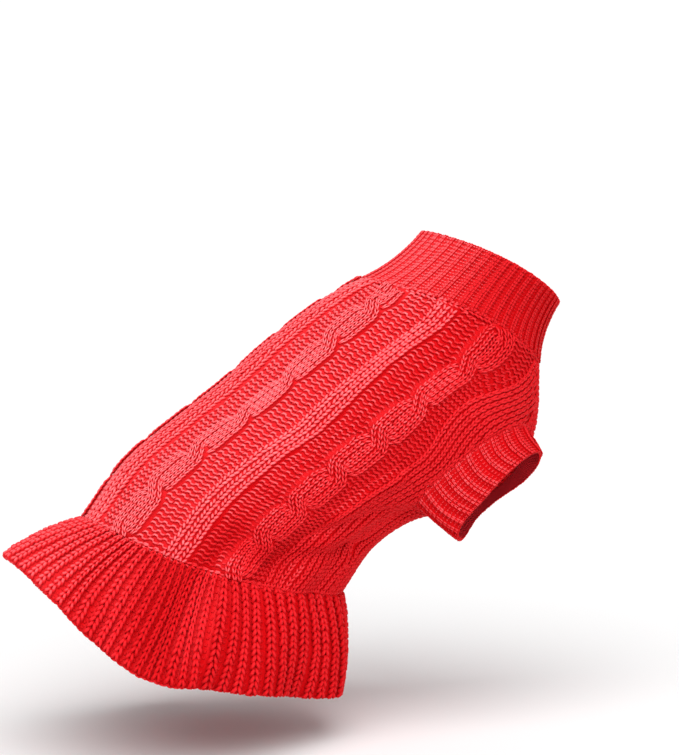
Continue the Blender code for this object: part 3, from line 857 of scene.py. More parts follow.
@dataclass(frozen=True)
class YarnFinish(Finish):
    """Soft two-ply wool yarn: dyed red, paler as painted light where it faces up and back, deep red as painted
    shade where it dives.
    """

    name: str = "red_wool_yarn"
    # The ramp's colours: painted shade where the yarn dives, its plain red, then two painted highlights, the
    # palest on the lit side
    deep: tuple[float, float, float] = (0.60, 0.001, 0.004)
    body: tuple[float, float, float] = (0.74, 0.012, 0.018)
    painted_highlight: tuple[float, float, float] = (0.88, 0.125, 0.142)
    painted_glare: tuple[float, float, float] = (0.93, 0.205, 0.220)
    roughness: float = 0.70
    specular: float = 0.12
    sheen: float = 0.04
    sheen_tint: tuple[float, ...] = (1.0, 0.35, 0.35, 1.0)
    twist: float = 620.0        # turns of the plies, in radians for each metre
    ply_depth: float = 0.25
    fibre_scale: float = 1500.0
    tone_scale: float = 240.0
    # Ranges that shares are read from and moved to: how far the yarn faces up (painted highlight on its tops,
    # painted shade on its sides), how deep it lies (painted shade), how uneven its dye is, how far the cloth
    # faces the lit side (painted light), and how pale that painted light makes its lowest part
    upright: tuple[float, ...] = (0.0, 0.95, 0.0, 1.0)
    sunk: tuple[float, ...] = (0.0, 1.3, 1.0, 0.0)
    uneven: tuple[float, ...] = (0.3, 0.7, 0.80, 1.06)
    lit_facing: tuple[float, ...] = (-0.45, 0.65, 0.25, 1.0)
    lit_lowest: tuple[float, ...] = (0.3, 1.0, 0.0, 0.42)

    def looks(self, pen: NodePen) -> dict[str, Feed]:
        """Draw the yarn's colour, with its painted light and shade, and its plies and fibres.

        Args:
            pen: the material's pen.

        Returns:
            What the shader's sockets are given.
        """
        coords = pen.tree.nodes.new("ShaderNodeTexCoord").outputs
        stops = ((0.0, self.deep), (0.42, self.body), (0.80, self.painted_highlight), (1.0, self.painted_glare))
        fibres = pen.noise(self.fibre_scale, 4.0, coords["Object"])
        return {"Base Color": pen.ramp(self._painted_light(pen, coords), stops, "EASE"),
                "Normal": pen.bump(pen.math("ADD", self._plies(pen), fibres), 0.6, 0.0004),
                "Roughness": self.roughness, "Specular IOR Level": self.specular,
                "Sheen Weight": self.sheen, "Sheen Roughness": 0.5, "Sheen Tint": self.sheen_tint}

    def _painted_light(self, pen: NodePen, coords: bpy.types.NodeOutputs) -> bpy.types.NodeSocket:
        """Share of painted light on the yarn: 0, painted shade, where it dives or turns away from the cloth's
        face, to 1, painted highlight.

        Args:
            pen: the material's pen.
            coords: the texture coordinates.

        Returns:
            The socket of that share.
        """
        facing, depth = (pen.node("ShaderNodeAttribute", output, attribute_name=name)
                         for name, output in (("facing", "Vector"), ("depth", "Fac")))
        lit_facing, tone = pen.dot(facing, PAINTED_LIGHT_SIDE), pen.noise(self.tone_scale, 3.0, coords["Object"])
        # Painted highlight on the yarn's tops, painted shade on its sides, where it dives and away from the lit
        # side
        share = pen.spread(pen.dot(coords["Normal"], facing), self.upright)
        for value, ranges in ((depth, self.sunk), (tone, self.uneven), (lit_facing, self.lit_facing)):
            share = pen.math("MULTIPLY", share, pen.spread(value, ranges))
        return pen.spread(share, (0.0, 1.0, pen.spread(lit_facing, self.lit_lowest), 1.0))

    def _plies(self, pen: NodePen) -> bpy.types.NodeSocket:
        """The ridges of two twisted plies.

        Args:
            pen: the material's pen.

        Returns:
            The socket of their height.
        """
        run = pen.node("ShaderNodeAttribute", "Fac", attribute_name="run")
        turn = pen.node("ShaderNodeAttribute", "Vector", attribute_name="turn")
        parts = pen.node("ShaderNodeSeparateXYZ", "X", {"Vector": turn}).node.outputs
        angle = pen.math("MULTIPLY", run, self.twist)
        wave = pen.math("ADD", pen.math("MULTIPLY", parts["X"], pen.math("SINE", angle)),
                        pen.math("MULTIPLY", parts["Y"], pen.math("COSINE", angle)))
        return pen.math("MULTIPLY", pen.math("MULTIPLY", wave, wave), self.ply_depth)


@dataclass(frozen=True)
class ClothFinish(Finish):
    """The knitting between and behind the stitches, paler as painted light where it faces the lit side; the
    outer ground is darker than the yarn as painted shade between the stitches.
    """

    name: str = "red_knit_ground_painted_shade"
    # Painted shade in the gaps between the stitches, then painted light where the cloth faces the lit side
    colour: tuple[float, float, float] = (0.58, 0.001, 0.003)
    pale: tuple[float, float, float] = (0.74, 0.022, 0.028)
    roughness: float = 0.95
    loops: bool = False

    def looks(self, pen: NodePen) -> dict[str, Feed]:
        """Draw the cloth's colour with its painted light and shade, and its rows of loops where they show.

        Args:
            pen: the material's pen.

        Returns:
            What the shader's sockets are given.
        """
        facing = pen.node("ShaderNodeTexCoord", "Normal")
        colour = pen.ramp(pen.dot(facing, PAINTED_LIGHT_SIDE), ((0.3, self.colour), (1.0, self.pale)))
        looks = {"Base Color": colour, "Roughness": self.roughness, "Specular IOR Level": 0.1}
        if self.loops:
            looks["Normal"] = pen.bump(self._purl_rows(pen), 0.9, 0.0012)
        return looks

    @staticmethod
    def _purl_rows(pen: NodePen) -> bpy.types.NodeSocket:
        """Height of wavy rows of loops, one for each course and wale of the UV map.

        Args:
            pen: the material's pen.

        Returns:
            The socket of the height.
        """
        stitch = pen.node("ShaderNodeUVMap", "UV", uv_map=STITCH_UV)
        parts = pen.node("ShaderNodeSeparateXYZ", "X", {"Vector": stitch}).node.outputs
        wave = pen.math("SINE", pen.math("MULTIPLY", parts["X"], 2 * math.pi))
        row = pen.math("ADD", parts["Y"], pen.math("MULTIPLY", wave, 0.22))
        return pen.math("COSINE", pen.math("MULTIPLY", row, 2 * math.pi))


@dataclass(frozen=True)
class FloorFinish(Finish):
    """Matt pale paint."""

    name: str = "pale_floor"

    def looks(self, pen: NodePen) -> dict[str, Feed]:
        """What the shader's sockets are given."""
        return {"Base Color": (0.86, 0.86, 0.86, 1.0), "Roughness": 0.9}


# Both grounds are paler where they face the lit side, as painted light; the outer one is darker than the yarn,
# as painted shade
SHADED_GROUND = ClothFinish()
INSIDE = ClothFinish("red_knit_inside", (0.62, 0.010, 0.018), (0.66, 0.014, 0.022), 0.9, True)


def new_mesh(name: str, vertices: np.ndarray, faces: list[tuple[int, ...]]) -> bpy.types.Object:
    """A smooth mesh object.

    Args:
        name: its name.
        vertices: its points in millimetres.
        faces: its faces' corners, by number.

    Returns:
        The object, in metres.
    """
    mesh = bpy.data.meshes.new(name)
    mesh.from_pydata(vertices * MM, [], faces)
    mesh.shade_smooth()
    piece = bpy.data.objects.new(name, mesh)
    bpy.context.scene.collection.objects.link(piece)
    return piece


def corners(grid: np.ndarray) -> np.ndarray:
    """The four corner values of each square of a grid, squares by four."""
    return np.stack([grid[:-1, :-1], grid[:-1, 1:], grid[1:, 1:], grid[1:, :-1]], axis=-1).reshape(-1, 4)


def shell(name: str, outer: np.ndarray, inner: np.ndarray, closed: bool,
          stitches: tuple[float, float]) -> bpy.types.Object:
    """A closed thin wall between two grids of the same size.

    Args:
        name: the piece's name.
        outer: points of the outer side, rows by columns by three, in millimetres.
        inner: points of the inner side.
        closed: whether the last column meets the first.
        stitches: how many wales and courses the cloth has.

    Returns:
        The piece, with its faces turned outward and its stitches counted in a UV map.
    """
    rows, columns = outer.shape[:2]
    out_ids = np.arange(rows * columns).reshape(rows, columns)
    in_ids = out_ids + out_ids.size
    u, v = np.meshgrid(np.linspace(0, stitches[0], columns + closed), np.linspace(0, stitches[1], rows))
    if closed:
        out_ids, in_ids = (np.hstack([ids, ids[:, :1]]) for ids in (out_ids, in_ids))
    sides = [(out_ids, u, v), (in_ids[:, ::-1], u[:, ::-1], v[:, ::-1])]
    every = slice(None)
    for rim in ((0, every), (-1, every)) + (() if closed else ((every, 0), (every, -1))):
        sides.append(tuple(np.stack([a[rim], b[rim]]) for a, b in ((out_ids, in_ids), (u, u), (v, v))))
    quads = [[corners(grid) for grid in side] for side in sides]
    faces, us, vs = (np.vstack([quad[k] for quad in quads]) for k in range(3))
    piece = new_mesh(name, np.vstack([outer.reshape(-1, 3), inner.reshape(-1, 3)]), faces.tolist())
    layer = piece.data.uv_layers.new(name=STITCH_UV)
    layer.data.foreach_set("uv", np.stack([us, vs], axis=-1).reshape(-1))
    slots = np.zeros(len(faces), int)
    slots[len(quads[0][0]):len(quads[0][0]) + len(quads[1][0])] = 1
    piece.data.polygons.foreach_set("material_index", slots)
    for finish in (SHADED_GROUND, INSIDE):
        piece.data.materials.append(finish.material())
    turn_outward(piece)
    return piece


def turn_outward(piece: bpy.types.Object) -> None:
    """Turn the faces of a closed piece outward.

    Args:
        piece: the piece.
    """
    work = bmesh.new()
    work.from_mesh(piece.data)
    bmesh.ops.recalc_face_normals(work, faces=work.faces)
    work.to_mesh(piece.data)
    work.free()


@dataclass
class Body:
    """Back, flanks, chest and belly: two panels with bands of cable, rib and plain knitting."""

    skin: Skin
    samples: int = 260
    back_grid: tuple[int, int] = (64, 60)
    belly_grid: tuple[int, int] = (56, 14)
    back_count: tuple[int, int] = (72, 62)      # wales and courses of the inside
    belly_count: tuple[int, int] = (20, 50)

    def __post_init__(self) -> None:
        """Mark the places along the body at which wales are measured."""
        self.along = np.linspace(0, 1, self.samples)

    def wale(self, side: int, centre: np.ndarray, width: np.ndarray, top: np.ndarray | float) -> Wale:
        """A wale along the body.

        Args:
            side: 1 on the right and -1 on the left.
            centre: where it lies, as shares of the half ring, at even places along the body.
            width: its width, as shares too.
            top: height of the stitches above the inner face of the cloth.

        Returns:
            The wale, with its courses counted in stitches.
        """
        along, around, step = self.along, side * centre, side * 0.5 * width
        line, normal = self.skin.face(along, around)
        across = self.skin.point(along, around + step) - self.skin.point(along, around - step)
        course = self.skin.course(along, around) / COURSE
        return Wale(line, across, normal, course, np.broadcast_to(top, along.shape).astype(float),
                    self.skin.at(along, around, self.skin.painted_fold_shade))

    @staticmethod
    def rows(wale: Wale) -> np.ndarray:
        """The courses of a wale that are stitches, from seam to seam."""
        return np.arange(int(wale.course[-1] + 0.15)) + 0.35

    def rows_inside(self, wale: Wale, inside: np.ndarray) -> np.ndarray:
        """Those of a wale's courses at which it is inside its panel."""
        rows = self.rows(wale)
        return rows[np.interp(rows, wale.course, inside.astype(float)) > 0.5]

    def knit_back(self, finish: YarnFinish) -> list[bpy.types.Object]:
        """Knit the bands of the back and flanks.

        Args:
            finish: the yarn's material.

        Returns:
            The pieces of yarn.
        """
        ends = band_ends(self.along)
        ribs, ground = YarnWork(RIB_YARN, 5), YarnWork(PURL_YARN, 4, SEED + 1)
        pieces = []
        rib_top = WALL + RISE[Knit.KNIT]
        spine_width = 2 * ends[:, 0] / BANDS[0].wales
        centre_wale = self.wale(1, 0 * self.along, spine_width, rib_top)
        ribs.knit(centre_wale, self.rows(centre_wale), KNIT_LEGS)
        for side, label in ((1, "right"), (-1, "left")):
            beside = self.wale(side, spine_width, spine_width, rib_top)
            ribs.knit(beside, self.rows(beside), KNIT_LEGS)
            for k in range(1, len(BANDS)):
                band, begins, seed = BANDS[k], ends[:, k - 1], SEED + 10 * k + side
                width = (ends[:, k] - begins) / band.wales
                if band.kind is Knit.CABLE:
                    work = YarnWork(CABLE_YARN * width.mean() * HALF_GIRTH, 5, seed)
                    self._cable(work, side, begins, ends[:, k])
                    place = "upper" if k < 4 else "lower"
                    pieces.append(work.piece(f"{place}_cable_{label}", finish))
                elif band.kind is Knit.PLAIN:
                    work = YarnWork(SIDE_YARN, 5, seed)
                    self._plain_wales(work, side, begins, 1, -HOLE_RISE)
                    pieces.append(work.piece(f"plain_side_{label}", finish))
                else:
                    for j in range(band.wales):
                        centre = begins + (j + 0.5) * width
                        if band.kind is Knit.KNIT:
                            wale = self.wale(side, centre, width, rib_top)
                            ribs.knit(wale, self.rows(wale), KNIT_LEGS)
                        else:
                            wale = self.wale(side, centre + self._pull(side, k, j, ends), width, WALL)
                            ground.knit(wale, self.rows(wale), (PURL_HEAD, PURL_FOOT), PURL_SHADE)
        pieces.append(ribs.piece("rib_bands", finish))
        pieces.append(ground.piece("purl_bands", finish))
        return pieces

    def _pull(self, side: int, band: int, wale: int, ends: np.ndarray) -> np.ndarray:
        """How far the crossings of the cables beside a sunk band pull one of its wales aside.

        Args:
            side: 1 on the right and -1 on the left.
            band: the sunk band's number.
            wale: the wale's number in it.
            ends: where all bands end.

        Returns:
            Shares of the half ring, at even places along the body.
        """
        pull = np.zeros(self.samples)
        for cable, towards, steps in ((band + 1, 1, BANDS[band].wales - 1 - wale), (band - 1, -1, wale)):
            if 0 < cable < len(BANDS) and BANDS[cable].kind is Knit.CABLE:
                half = (ends[:, cable] - ends[:, cable - 1]) / 2
                course = self.skin.course(self.along, side * (ends[:, cable] - half))
                near = strand_sway(course)[1]
                pull += towards * CABLE_PULL * half * near * (1 - 0.33 * steps)
        return pull

    def _cable(self, work: YarnWork, side: int, begins: np.ndarray, ends: np.ndarray) -> None:
        """Knit the two strands of a cable, three wales each, crossing every ten courses.

        Args:
            work: the yarn to knit with.
            side: 1 on the right and -1 on the left.
            begins: where the cable begins, as shares of the half ring.
            ends: where it ends.
        """
        half, middle = (ends - begins) / 2, (ends + begins) / 2
        course = self.skin.course(self.along, side * middle)
        sway, crossing = strand_sway(course)
        period = np.floor(course / CABLE_PITCH + 0.5).astype(int)
        spread = 1 + CROSSING_SPREAD * crossing
        for strand_number in (0, 1):
            front = (period + strand_number) % 2 == 0
            sign = np.where(front, -1, 1)
            height = strand_height(front, crossing)
            for j in (-1, 0, 1):
                off = j / 3 * spread
                dome = np.sqrt(1 - np.clip(off / STRAND_HALF, -0.8, 0.8) ** 2)
                place = middle + (STRAND_SWING * sign * sway + off) * half
                wale = self.wale(side, place, half / 3 * spread, WALL + CABLE_RISE * height * dome)
                hidden = ~front & (crossing > HIDDEN_FROM) & (np.abs(2 * sway + off) < HIDDEN_WITHIN)
                work.knit(wale, self.rows_inside(wale, ~hidden), KNIT_LEGS)

    def _plain_wales(self, work: YarnWork, side: int, begins: np.ndarray | float, way: int,
                     reach: float) -> None:
        """Knit plain wales beside a line, until they are past their panel's side edge.

        Args:
            work: the yarn to knit with.
            side: 1 on the right and -1 on the left.
            begins: the line, as shares of the half ring.
            way: 1 from it towards the belly and -1 towards the spine.
            reach: how far the panel's half of the armhole goes from the side seam.
        """
        width = PLAIN_WALE / self.skin.girth(self.along)
        edge = armhole_edge(reach, self.along) - way * EDGE_INSET * width
        for j in range(BANDS[-1].wales):
            centre = begins + way * (j + 0.5) * width
            inside = way * centre < way * edge
            if inside.any():
                wale = self.wale(side, centre, width, WALL + RISE[Knit.PLAIN])
                work.knit(wale, self.rows_inside(wale, inside), PLAIN_LEGS)

    def knit_belly(self, finish: YarnFinish) -> bpy.types.Object:
        """Knit chest and belly.

        Args:
            finish: the yarn's material.

        Returns:
            The piece of yarn.
        """
        work = YarnWork(SIDE_YARN, 5, SEED + 7)
        for side in (1, -1):
            self._plain_wales(work, side, 1.0, -1, HOLE_DROP)
        return work.piece("belly_stitches", finish)

    def back_shell(self) -> bpy.types.Object:
        """The cloth under the stitches of back and flanks.

        Returns:
            The piece.
        """
        rows, columns = self.back_grid
        along = np.linspace(0, 1, rows)[:, None]
        edge = armhole_edge(-HOLE_RISE, along) - SEAM_GAP / 2 / HALF_GIRTH
        around = np.linspace(-1, 1, 2 * columns + 1)[None] * edge
        base, normal = self.skin.face(along, around)
        rise = panel_rise(along + 0 * around, around, self.skin.course(along, around))
        outer = base + (WALL + rise - SHELL_DEPTH)[..., None] * normal
        return shell("back_cloth", outer, base, False, self.back_count)

    def belly_shell(self) -> bpy.types.Object:
        """The cloth under the stitches of chest and belly.

        Returns:
            The piece.
        """
        rows, columns = self.belly_grid
        along = np.linspace(0, 1, rows)[:, None]
        edge = armhole_edge(HOLE_DROP, along) + SEAM_GAP / 2 / HALF_GIRTH
        share = np.linspace(-1, 1, 2 * columns + 1)[None]
        around = 1 + np.abs(share) * (edge - 1)
        around = np.clip(np.where(share <= 0, around, -around), -1, 1)
        base, normal = self.skin.face(along, around)
        lift = WALL + RISE[Knit.PLAIN] - SHELL_DEPTH
        return shell("belly_cloth", base + lift * normal, base, False, self.belly_count)


@dataclass
class RibbedTube:
    """A ribbed tube: skirt, collar or sleeve, on a grid from its seam to its rim."""

    name: str
    grid: np.ndarray
    normals: np.ndarray
    ribs: int
    wales: int              # knit wales of a rib, and as many purl wales
    rows: int
    rise: float             # of the ribs above the furrows
    sink: float             # of the furrows below the plain thickness
    yarn: float
    sides: int
    legs: tuple[Strand, ...]
    loops: tuple[Strand, ...]
    knit_share: float = 0.5
    unevenness: float = 0.0
    bend: float = 0.0       # how far the ribs bow backward, in ribs
    shade: float = 0.35     # painted shade: how much darker the furrows are coloured
    painted_rib_shade: tuple[float, ...] = (0.0, 0.0)    # painted shade: how much darker the ribs are coloured, at even shares of the half ring
    turn: float = 0.25      # where the first rib starts, in ribs
    loose: float = 4.6      # single wales narrower than this, in radii of the yarn, have thinner yarn
    wobble: float = 0.08    # how uneven the ribs' rise is
    spine_rise: float = 0.55    # share of the rise at the spine

    def sway(self, place: np.ndarray, share: np.ndarray) -> np.ndarray:
        """How far the ribs wander from their even places.

        Args:
            place: places round the tube, in ribs.
            share: how far they are from seam to rim.

        Returns:
            Ribs.
        """
        angle = 2 * math.pi * place / self.ribs
        wander = (np.sin(7 * angle + 0.6) + 0.8 * np.sin(13 * angle + 2.1) + 0.7 * np.sin(19 * angle + 4.0)
                  + 0.6 * np.sin(5 * angle + 1.0) * np.sin(4 * share))
        return (self.unevenness * wander * (0.35 + 0.65 * np.sin(2.6 * share))
                - self.bend * np.sin(math.pi * share))

    def at(self, place: np.ndarray, values: np.ndarray) -> np.ndarray:
        """Values of a grid at places round the tube.

        Args:
            place: the places, in ribs: one row of them, or a row for each row of the grid.
            values: the grid's values.

        Returns:
            A row of values for each row of the grid.
        """
        rows, columns = values.shape[:2]
        share = np.linspace(0, 1, rows)[:, None]
        place = np.broadcast_to(place, (rows, np.shape(place)[-1]))
        x = (place + self.turn + self.sway(place, share)) / self.ribs * columns
        low = np.floor(x).astype(int)
        f, row = (x - low)[..., None], np.arange(rows)[:, None]
        return values[row, low % columns] * (1 - f) + values[row, (low + 1) % columns] * f

    def stitches(self, finish: YarnFinish) -> bpy.types.Object:
        """Knit the ribs and bind them off.

        Args:
            finish: the yarn's material.

        Returns:
            The piece of yarn.
        """
        widest = self.loose * self.yarn if self.wales == 1 else 0.1
        work = YarnWork(self.yarn, self.sides, SEED + self.ribs, widest)
        course = np.linspace(0, 1, self.grid.shape[0]) * self.rows
        rows = np.arange(self.rows) + 0.45
        for rib in range(self.ribs):
            half_share = abs((2 * rib / self.ribs + 1) % 2 - 1)
            painted_rib_shade = float(np.interp(half_share, np.linspace(0, 1, len(self.painted_rib_shade)), self.painted_rib_shade))
            rise = (self.rise * (1 + self.wobble * math.sin(2.3 * rib))
                    * min(1.0, self.spine_rise + 1.6 * half_share))
            for j in range(2 * self.wales):
                raised = j < self.wales
                step = (self.knit_share if raised else 1 - self.knit_share) / self.wales
                place = rib + (j + 0.5) * step if raised else rib + 1 - (2 * self.wales - j - 0.5) * step
                before, line, after = np.moveaxis(
                    self.at(place + np.array([[-0.5, 0.0, 0.5]]) * step, self.grid), 1, 0)
                normal = unit(self.at(np.array([[place]]), self.normals)[:, 0])
                top = np.full(len(line), WALL + (rise if raised else -self.sink))
                work.knit(Wale(line, after - before, normal, course, top), rows,
                          self.legs if raised else self.loops, painted_rib_shade if raised else self.shade)
        self._bind_off(work)
        return work.piece(self.name + "_stitches", finish)

    def _bind_off(self, work: YarnWork) -> None:
        """Lay a chain along the rim that follows its ribs.

        Args:
            work: the yarn to lay it with.
        """
        place = np.linspace(0, self.ribs, 6 * self.ribs, endpoint=False)[None]
        edge, normal = self.at(place, self.grid)[-1], unit(self.at(place, self.normals)[-1])
        away = unit(edge - self.at(place, self.grid)[-2])
        half = self._lift(place)[0] / 2
        # The bind-off chain is coloured a little darker, as painted shade
        work.chain(edge + half[:, None] * normal + 0.9 * self.yarn * away, 2.2 * (half + 0.3)[:, None] * normal,
                   away, 4.0 * self.yarn, 0.1)

    def _lift(self, place: np.ndarray) -> np.ndarray:
        """Height of the cloth under the stitches at places."""
        wave = 0.5 + 0.5 * np.cos(2 * math.pi * (place - self.knit_share / 2))
        return WALL - self.sink - SHELL_DEPTH * self.yarn / RIB_YARN + (self.rise + self.sink) * wave ** 1.3

    def cloth(self) -> bpy.types.Object:
        """The cloth under the stitches, a wall that rises and falls with the ribs.

        Returns:
            The piece.
        """
        columns = self.grid.shape[1]
        place = (np.arange(columns) * self.ribs / columns)[None]
        inner, normal = self.at(place, self.grid), unit(self.at(place, self.normals))
        outer = inner + np.maximum(self._lift(place), 0.35)[..., None] * normal
        return shell(self.name + "_cloth", outer, inner, True, (2 * self.wales * self.ribs, self.rows))


class Tubes:
    """Makes the grids of the skirt, the collar and the sleeves from the body."""

    def __init__(self, skin: Skin) -> None:
        """Keep the body that they are sewn to."""
        self.skin = skin

    @staticmethod
    def normals(grid: np.ndarray) -> np.ndarray:
        """Outward unit normals of a tube's grid."""
        return normals_of(np.concatenate([grid[:, -1:], grid, grid[:, :1]], axis=1))[:, 1:-1]

    def from_ring(self, at: float, rim: Ring, lift: float, waves: tuple[Wave, ...], rows: int,
                  columns: int) -> tuple[np.ndarray, np.ndarray]:
        """Grid of a tube that is sewn to an end of the body.

        Args:
            at: the end, 0 for the waist and 1 for the neck.
            rim: the tube's free edge.
            lift: how far it springs out between seam and rim.
            waves: the waves of its rim.
            rows: rows of the grid.
            columns: columns of the grid.

        Returns:
            Points and normals of its inner face.
        """
        place = np.arange(columns) * 2.0 / columns
        around = sewn = np.where(place <= 1, place, place - 2)
        if rim is HEM:
            sewn, around = (np.sign(around) * hermite(RIB_SHARE, shares, np.abs(around))
                            for shares in (RIB_WAIST, RIB_HEM))
        start, normal = self.skin.face(at, sewn)
        away = unit(start - self.skin.point(abs(at - 0.02), sewn))
        end = spaced_ring({name: getattr(rim, name) for name in RING_SIZES}, around)[0]
        out = unit(end - end.mean(axis=0))
        share = np.linspace(0, 1, rows + 1)[:, None, None]
        if rim is HEM:
            drop = np.interp(np.abs(around), HEM_DROP_AT, HEM_DROP) - np.interp(-around, HITCH_AT, HITCH)
            end = end + drop[:, None] * unit(end - start)
            lift = lift * (0.45 + 0.55 * np.sin(math.pi * np.abs(around)))[:, None]
        grid = (start + SEAM_GAP * away) * (1 - share) + end * share
        grid = grid + 4 * share * (1 - share) * lift * normal
        height = sum((wave.height * np.exp(-(gap / wave.half_width) ** 2) for wave in waves
                      for gap in (around - wave.around, around - wave.around + 2 * np.sign(wave.around))),
                     start=np.zeros(columns))
        grid = grid + share ** WAVE_GROWTH * height[:, None] * out
        if rim is HEM:
            for top, foot, half, depth in SKIRT_CREASES:
                gap = (sewn - top) * (1 - share[..., 0]) + (around - foot) * share[..., 0]
                sink = depth * np.sin(CREASE_SWELL * math.pi * share[..., 0]) ** 0.7
                grid = grid - (sink * np.exp(-(gap / half) ** 2))[..., None] * normal
        normals = self.normals(grid)
        normals[0] = normal
        return grid, normals

    def sleeve(self, side: int, rows: int, half_columns: int) -> tuple[np.ndarray, np.ndarray]:
        """Grid of a short sleeve that is sewn into an armhole.

        Args:
            side: 1 for the right and -1 for the left.
            rows: rows of the grid.
            half_columns: columns on each half of the armhole.

        Returns:
            Points and normals of its inner face.
        """
        loop, mirror = armhole_loop(half_columns), np.array([1, side, 1])
        seam, normal = (grid * mirror for grid in self.skin.face(loop[:, 0], side * loop[:, 1]))
        run = np.roll(seam, -1, axis=0) - np.roll(seam, 1, axis=0)
        inward = unit(np.cross(normal, run))
        inward *= np.sign(((seam.mean(axis=0) - seam) * inward).sum())
        seam = seam + SEAM_GAP * inward
        size = SleeveSize()
        lengths = (size.rear, size.outside, size.front, size.inside, size.rear)
        reach = hermite(np.linspace(0, 1, 5), lengths, np.arange(len(loop)) / len(loop))
        down = unit(np.array([size.ahead, -size.out, -1.0])) * reach[:, None]
        start = seam + WALL * normal
        middle = start.mean(axis=0)
        long_way = unit(start[half_columns] - start[0])
        cuff = start + down - (1 - size.squeeze) * ((start - middle) @ long_way)[:, None] * long_way
        share = np.linspace(0, 1, rows + 1)[:, None, None]
        outer = start * (1 - share) + cuff * share
        normals = self.normals(outer)
        return (outer - WALL * normals) * mirror, normals * mirror

    def seams(self, finish: YarnFinish) -> bpy.types.Object:
        """Link the pieces: chains of stitches over the seams of waist, neck, sides and armholes.

        Args:
            finish: the yarn's material.

        Returns:
            The piece of yarn.
        """
        work = YarnWork(SIDE_YARN, 5, SEED + 3)
        # All the seams' chains are coloured a little darker, as painted shade
        round_body = np.linspace(-1, 1, 320, endpoint=False)
        for at, lift in ((0.0, 0.1), (1.0, 0.3)):
            points, normal = self.skin.face(at, round_body)
            away = unit(points - self.skin.point(abs(at - 0.02), round_body))
            work.chain(points + (WALL + lift) * normal, SEAM_CHAIN * away, normal, COURSE, 0.3)
        loop = armhole_loop(96)
        for side in (1, -1):
            points, normal = self.skin.face(loop[:, 0], side * loop[:, 1])
            across = unit(np.cross(normal, np.roll(points, -1, axis=0) - np.roll(points, 1, axis=0)))
            work.chain(points + (WALL + 0.5) * normal, SEAM_CHAIN * across, normal, COURSE, 0.25)
            for start, end in ((0.0, HOLE_REAR), (HOLE_FRONT, 1.0)):
                along = np.linspace(start, end, 60)
                points, normal = self.skin.face(along, side * band_ends(along)[:, -1])
                across = unit(np.cross(normal, np.gradient(points, axis=0)))
                course = run_length(points) / COURSE
                wale = Wale(points, SEAM_CHAIN * across, normal, course, np.full(len(along), WALL + 0.4))
                work.knit(wale, np.arange(int(course[-1])) + 0.5, KNIT_LEGS, 0.2)
        return work.piece("linked_seams", finish)


@dataclass(frozen=True)
class SleeveSize:
    """How long a sleeve is on its four sides, how it points and how much narrower its cuff is."""

    rear: float = 34.5
    outside: float = 29.0
    front: float = 19.0
    inside: float = 7.0
    ahead: float = 0.9
    out: float = 0.30
    squeeze: float = 0.92


@dataclass(frozen=True)
class Lamp:
    """A large far lamp: the way to it, its watts for each square metre and how wide it looks."""

    name: str
    towards: tuple[float, float, float]
    power: float
    degrees: float = 60.0

    def hang(self) -> None:
        """Put the lamp in the scene."""
        data = bpy.data.lights.new(self.name, "SUN")
        data.angle, data.energy = math.radians(self.degrees), self.power
        lamp = bpy.data.objects.new(self.name, data)
        bpy.context.scene.collection.objects.link(lamp)
        lamp.location = self.towards
        lamp.rotation_euler = Vector(self.towards).to_track_quat("Z", "Y").to_euler()


@dataclass(frozen=True)
class Studio:
    """The pale floor, the soft lights and the camera."""

    floor_z: float = -290.0
    floor_half: float = 300000.0
    azimuth: float = -25.0
    elevation: float = 10.0
    distance: float = 2000.0
    centre: tuple[float, float, float] = (-60.0, 0.0, -130.0)
    aim_right: float = 33.8
    aim_up: float = 70.2
    lens: float = 146.7
    lamps: tuple[Lamp, ...] = (Lamp("key_light", (-0.28, -0.44, 0.85), 2.85),
                               Lamp("fill_light", (0.0, -0.97, 0.24), 0.85))
    glow: tuple[float, ...] = (0.06, 0.30, 0.95, 0.38)      # heights on the wall and the light from them

    def axes(self) -> tuple[Vector, Vector, Vector]:
        """The camera's directions in the frame of the part.

        Returns:
            Its right, up and back.
        """
        a, e = math.radians(self.azimuth), math.radians(self.elevation)
        right = Vector((math.cos(a), math.sin(a), 0))
        back = Vector((math.sin(a) * math.cos(e), -math.cos(a) * math.cos(e), math.sin(e)))
        return right, back.cross(right), back

    def build(self) -> None:
        """Set up floor, camera, lights and world."""
        self._floor()
        self._camera()
        for lamp in self.lamps:
            lamp.hang()
        self._world()
        bpy.context.scene.view_settings.view_transform = "Standard"

    def _floor(self) -> None:
        """A plain pale floor."""
        half, z = self.floor_half, self.floor_z
        edges = np.array([(-half, -half, z), (half, -half, z), (half, half, z), (-half, half, z)])
        floor = new_mesh("floor", edges, [(0, 1, 2, 3)])
        floor.data.materials.append(FloorFinish().material())

    def _camera(self) -> None:
        """A long lens at the height of the sweater."""
        right, up, back = self.axes()
        centre = Vector(self.centre)
        data = bpy.data.cameras.new("camera")
        data.lens = self.lens
        data.clip_end = 100.0
        camera = bpy.data.objects.new("camera", data)
        bpy.context.scene.collection.objects.link(camera)
        place = centre + back * self.distance
        aim = centre + right * self.aim_right + up * self.aim_up
        camera.location = place * MM
        camera.rotation_euler = (aim - place).to_track_quat("-Z", "Y").to_euler()
        bpy.context.scene.camera = camera

    def _world(self) -> None:
        """Soft light from all round, brighter low down, as a white studio wall gives it."""
        world = bpy.data.worlds.new("white_studio")
        world.use_nodes = True
        pen = NodePen(world.node_tree)
        way = pen.node("ShaderNodeTexCoord", "Generated")
        height = pen.node("ShaderNodeSeparateXYZ", "Z", {"Vector": way})
        pen.feed(pen.tree.nodes["Background"], {"Color": (1.0, 1.0, 1.0, 1.0),
                                                "Strength": pen.spread(height, self.glow, "SMOOTHSTEP")})
        bpy.context.scene.world = world


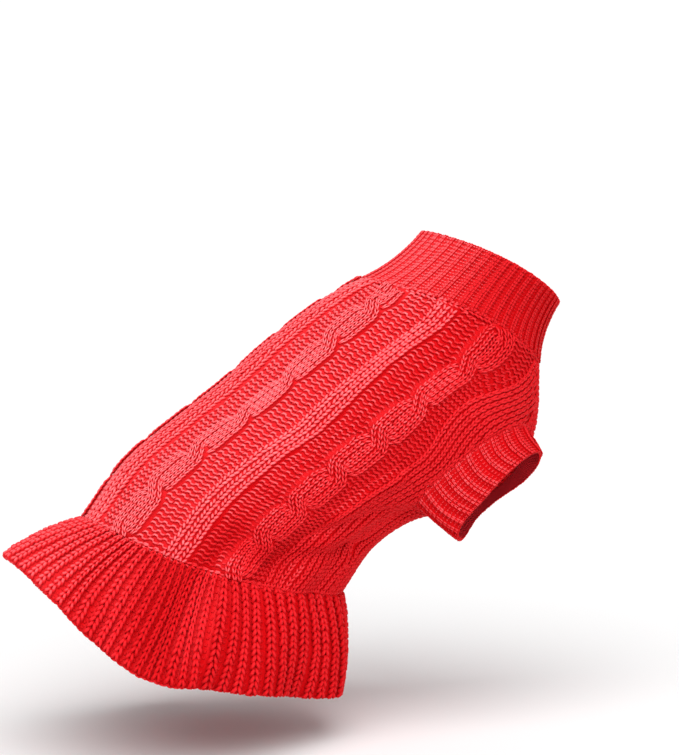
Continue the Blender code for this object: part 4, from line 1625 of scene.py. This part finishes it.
def dress(piece: bpy.types.Object) -> bpy.types.Object:
    """Let a piece move with the sweater and log its triangles.

    Args:
        piece: the piece.

    Returns:
        The same piece.
    """
    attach(piece, BODY)
    faces = sum(len(face.vertices) - 2 for face in piece.data.polygons)
    LOG.info("%s: %d triangles", piece.name, faces)
    return piece


def sew_on(tube: RibbedTube, yarn: YarnFinish) -> None:
    """Args:
        tube: the skirt, the collar or a sleeve, named as its node is.
        yarn: its yarn.
    """
    cloth, stitches = dress(tube.cloth()), dress(tube.stitches(yarn))
    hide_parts(tube.name)


def main() -> None:
    """Knit the sweater and set up the studio."""
    logging.basicConfig(level=logging.INFO)
    Studio().build()
    yarn = YarnFinish()
    skin = Skin()
    body, tubes = Body(skin), Tubes(skin)
    back, belly = body.back_shell(), body.belly_shell()
    for piece, node in ((back, "back_panel"), (belly, "belly_panel")):
        dress(piece)
        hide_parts(node)
    back_yarn = [dress(piece) for piece in body.knit_back(yarn)]
    belly_yarn = dress(body.knit_belly(yarn))

    # The skirt's ribs are coloured darker as painted shade, most in the deep fold on each side, and its furrows
    # darker still
    skirt = RibbedTube("skirt", *tubes.from_ring(0.0, HEM, 7.0, WAVES, 16, 288), ribs=72, wales=1, rows=17,
                       rise=2.0, sink=1.0, yarn=SKIRT_YARN, sides=5, legs=KNIT_LEGS, loops=(PURL_HEAD,),
                       knit_share=0.70, unevenness=0.14, shade=1.25,
                       painted_rib_shade=(0.50, 0.55, 0.60, 0.85, 1.10, 1.00, 0.70, 0.58, 0.48, 0.42, 0.50))
    sew_on(skirt, yarn)
    fine = {"wales": 2, "rise": 1.2, "sink": 0.1, "yarn": FINE_YARN, "sides": 4, "legs": FINE_LEGS,
            "loops": (FINE_PURL,)}
    # The collar's ribs are coloured darker throughout, as painted shade
    collar = RibbedTube("collar", *tubes.from_ring(1.0, COLLAR_TOP, -3.0, (), 10, 184), ribs=46, rows=18,
                        unevenness=0.05, shade=0.25, painted_rib_shade=(0.45, 0.45), **fine)
    sew_on(collar, yarn)
    for side, label in ((1, "right"), (-1, "left")):
        sleeve = RibbedTube(f"sleeve_{label}", *tubes.sleeve(side, 8, 96), ribs=24, rows=11, unevenness=0.06,
                            bend=0.35, shade=0.15, **fine)
        sew_on(sleeve, yarn)
    dress(tubes.seams(yarn))


if __name__ == "__main__":
    main()
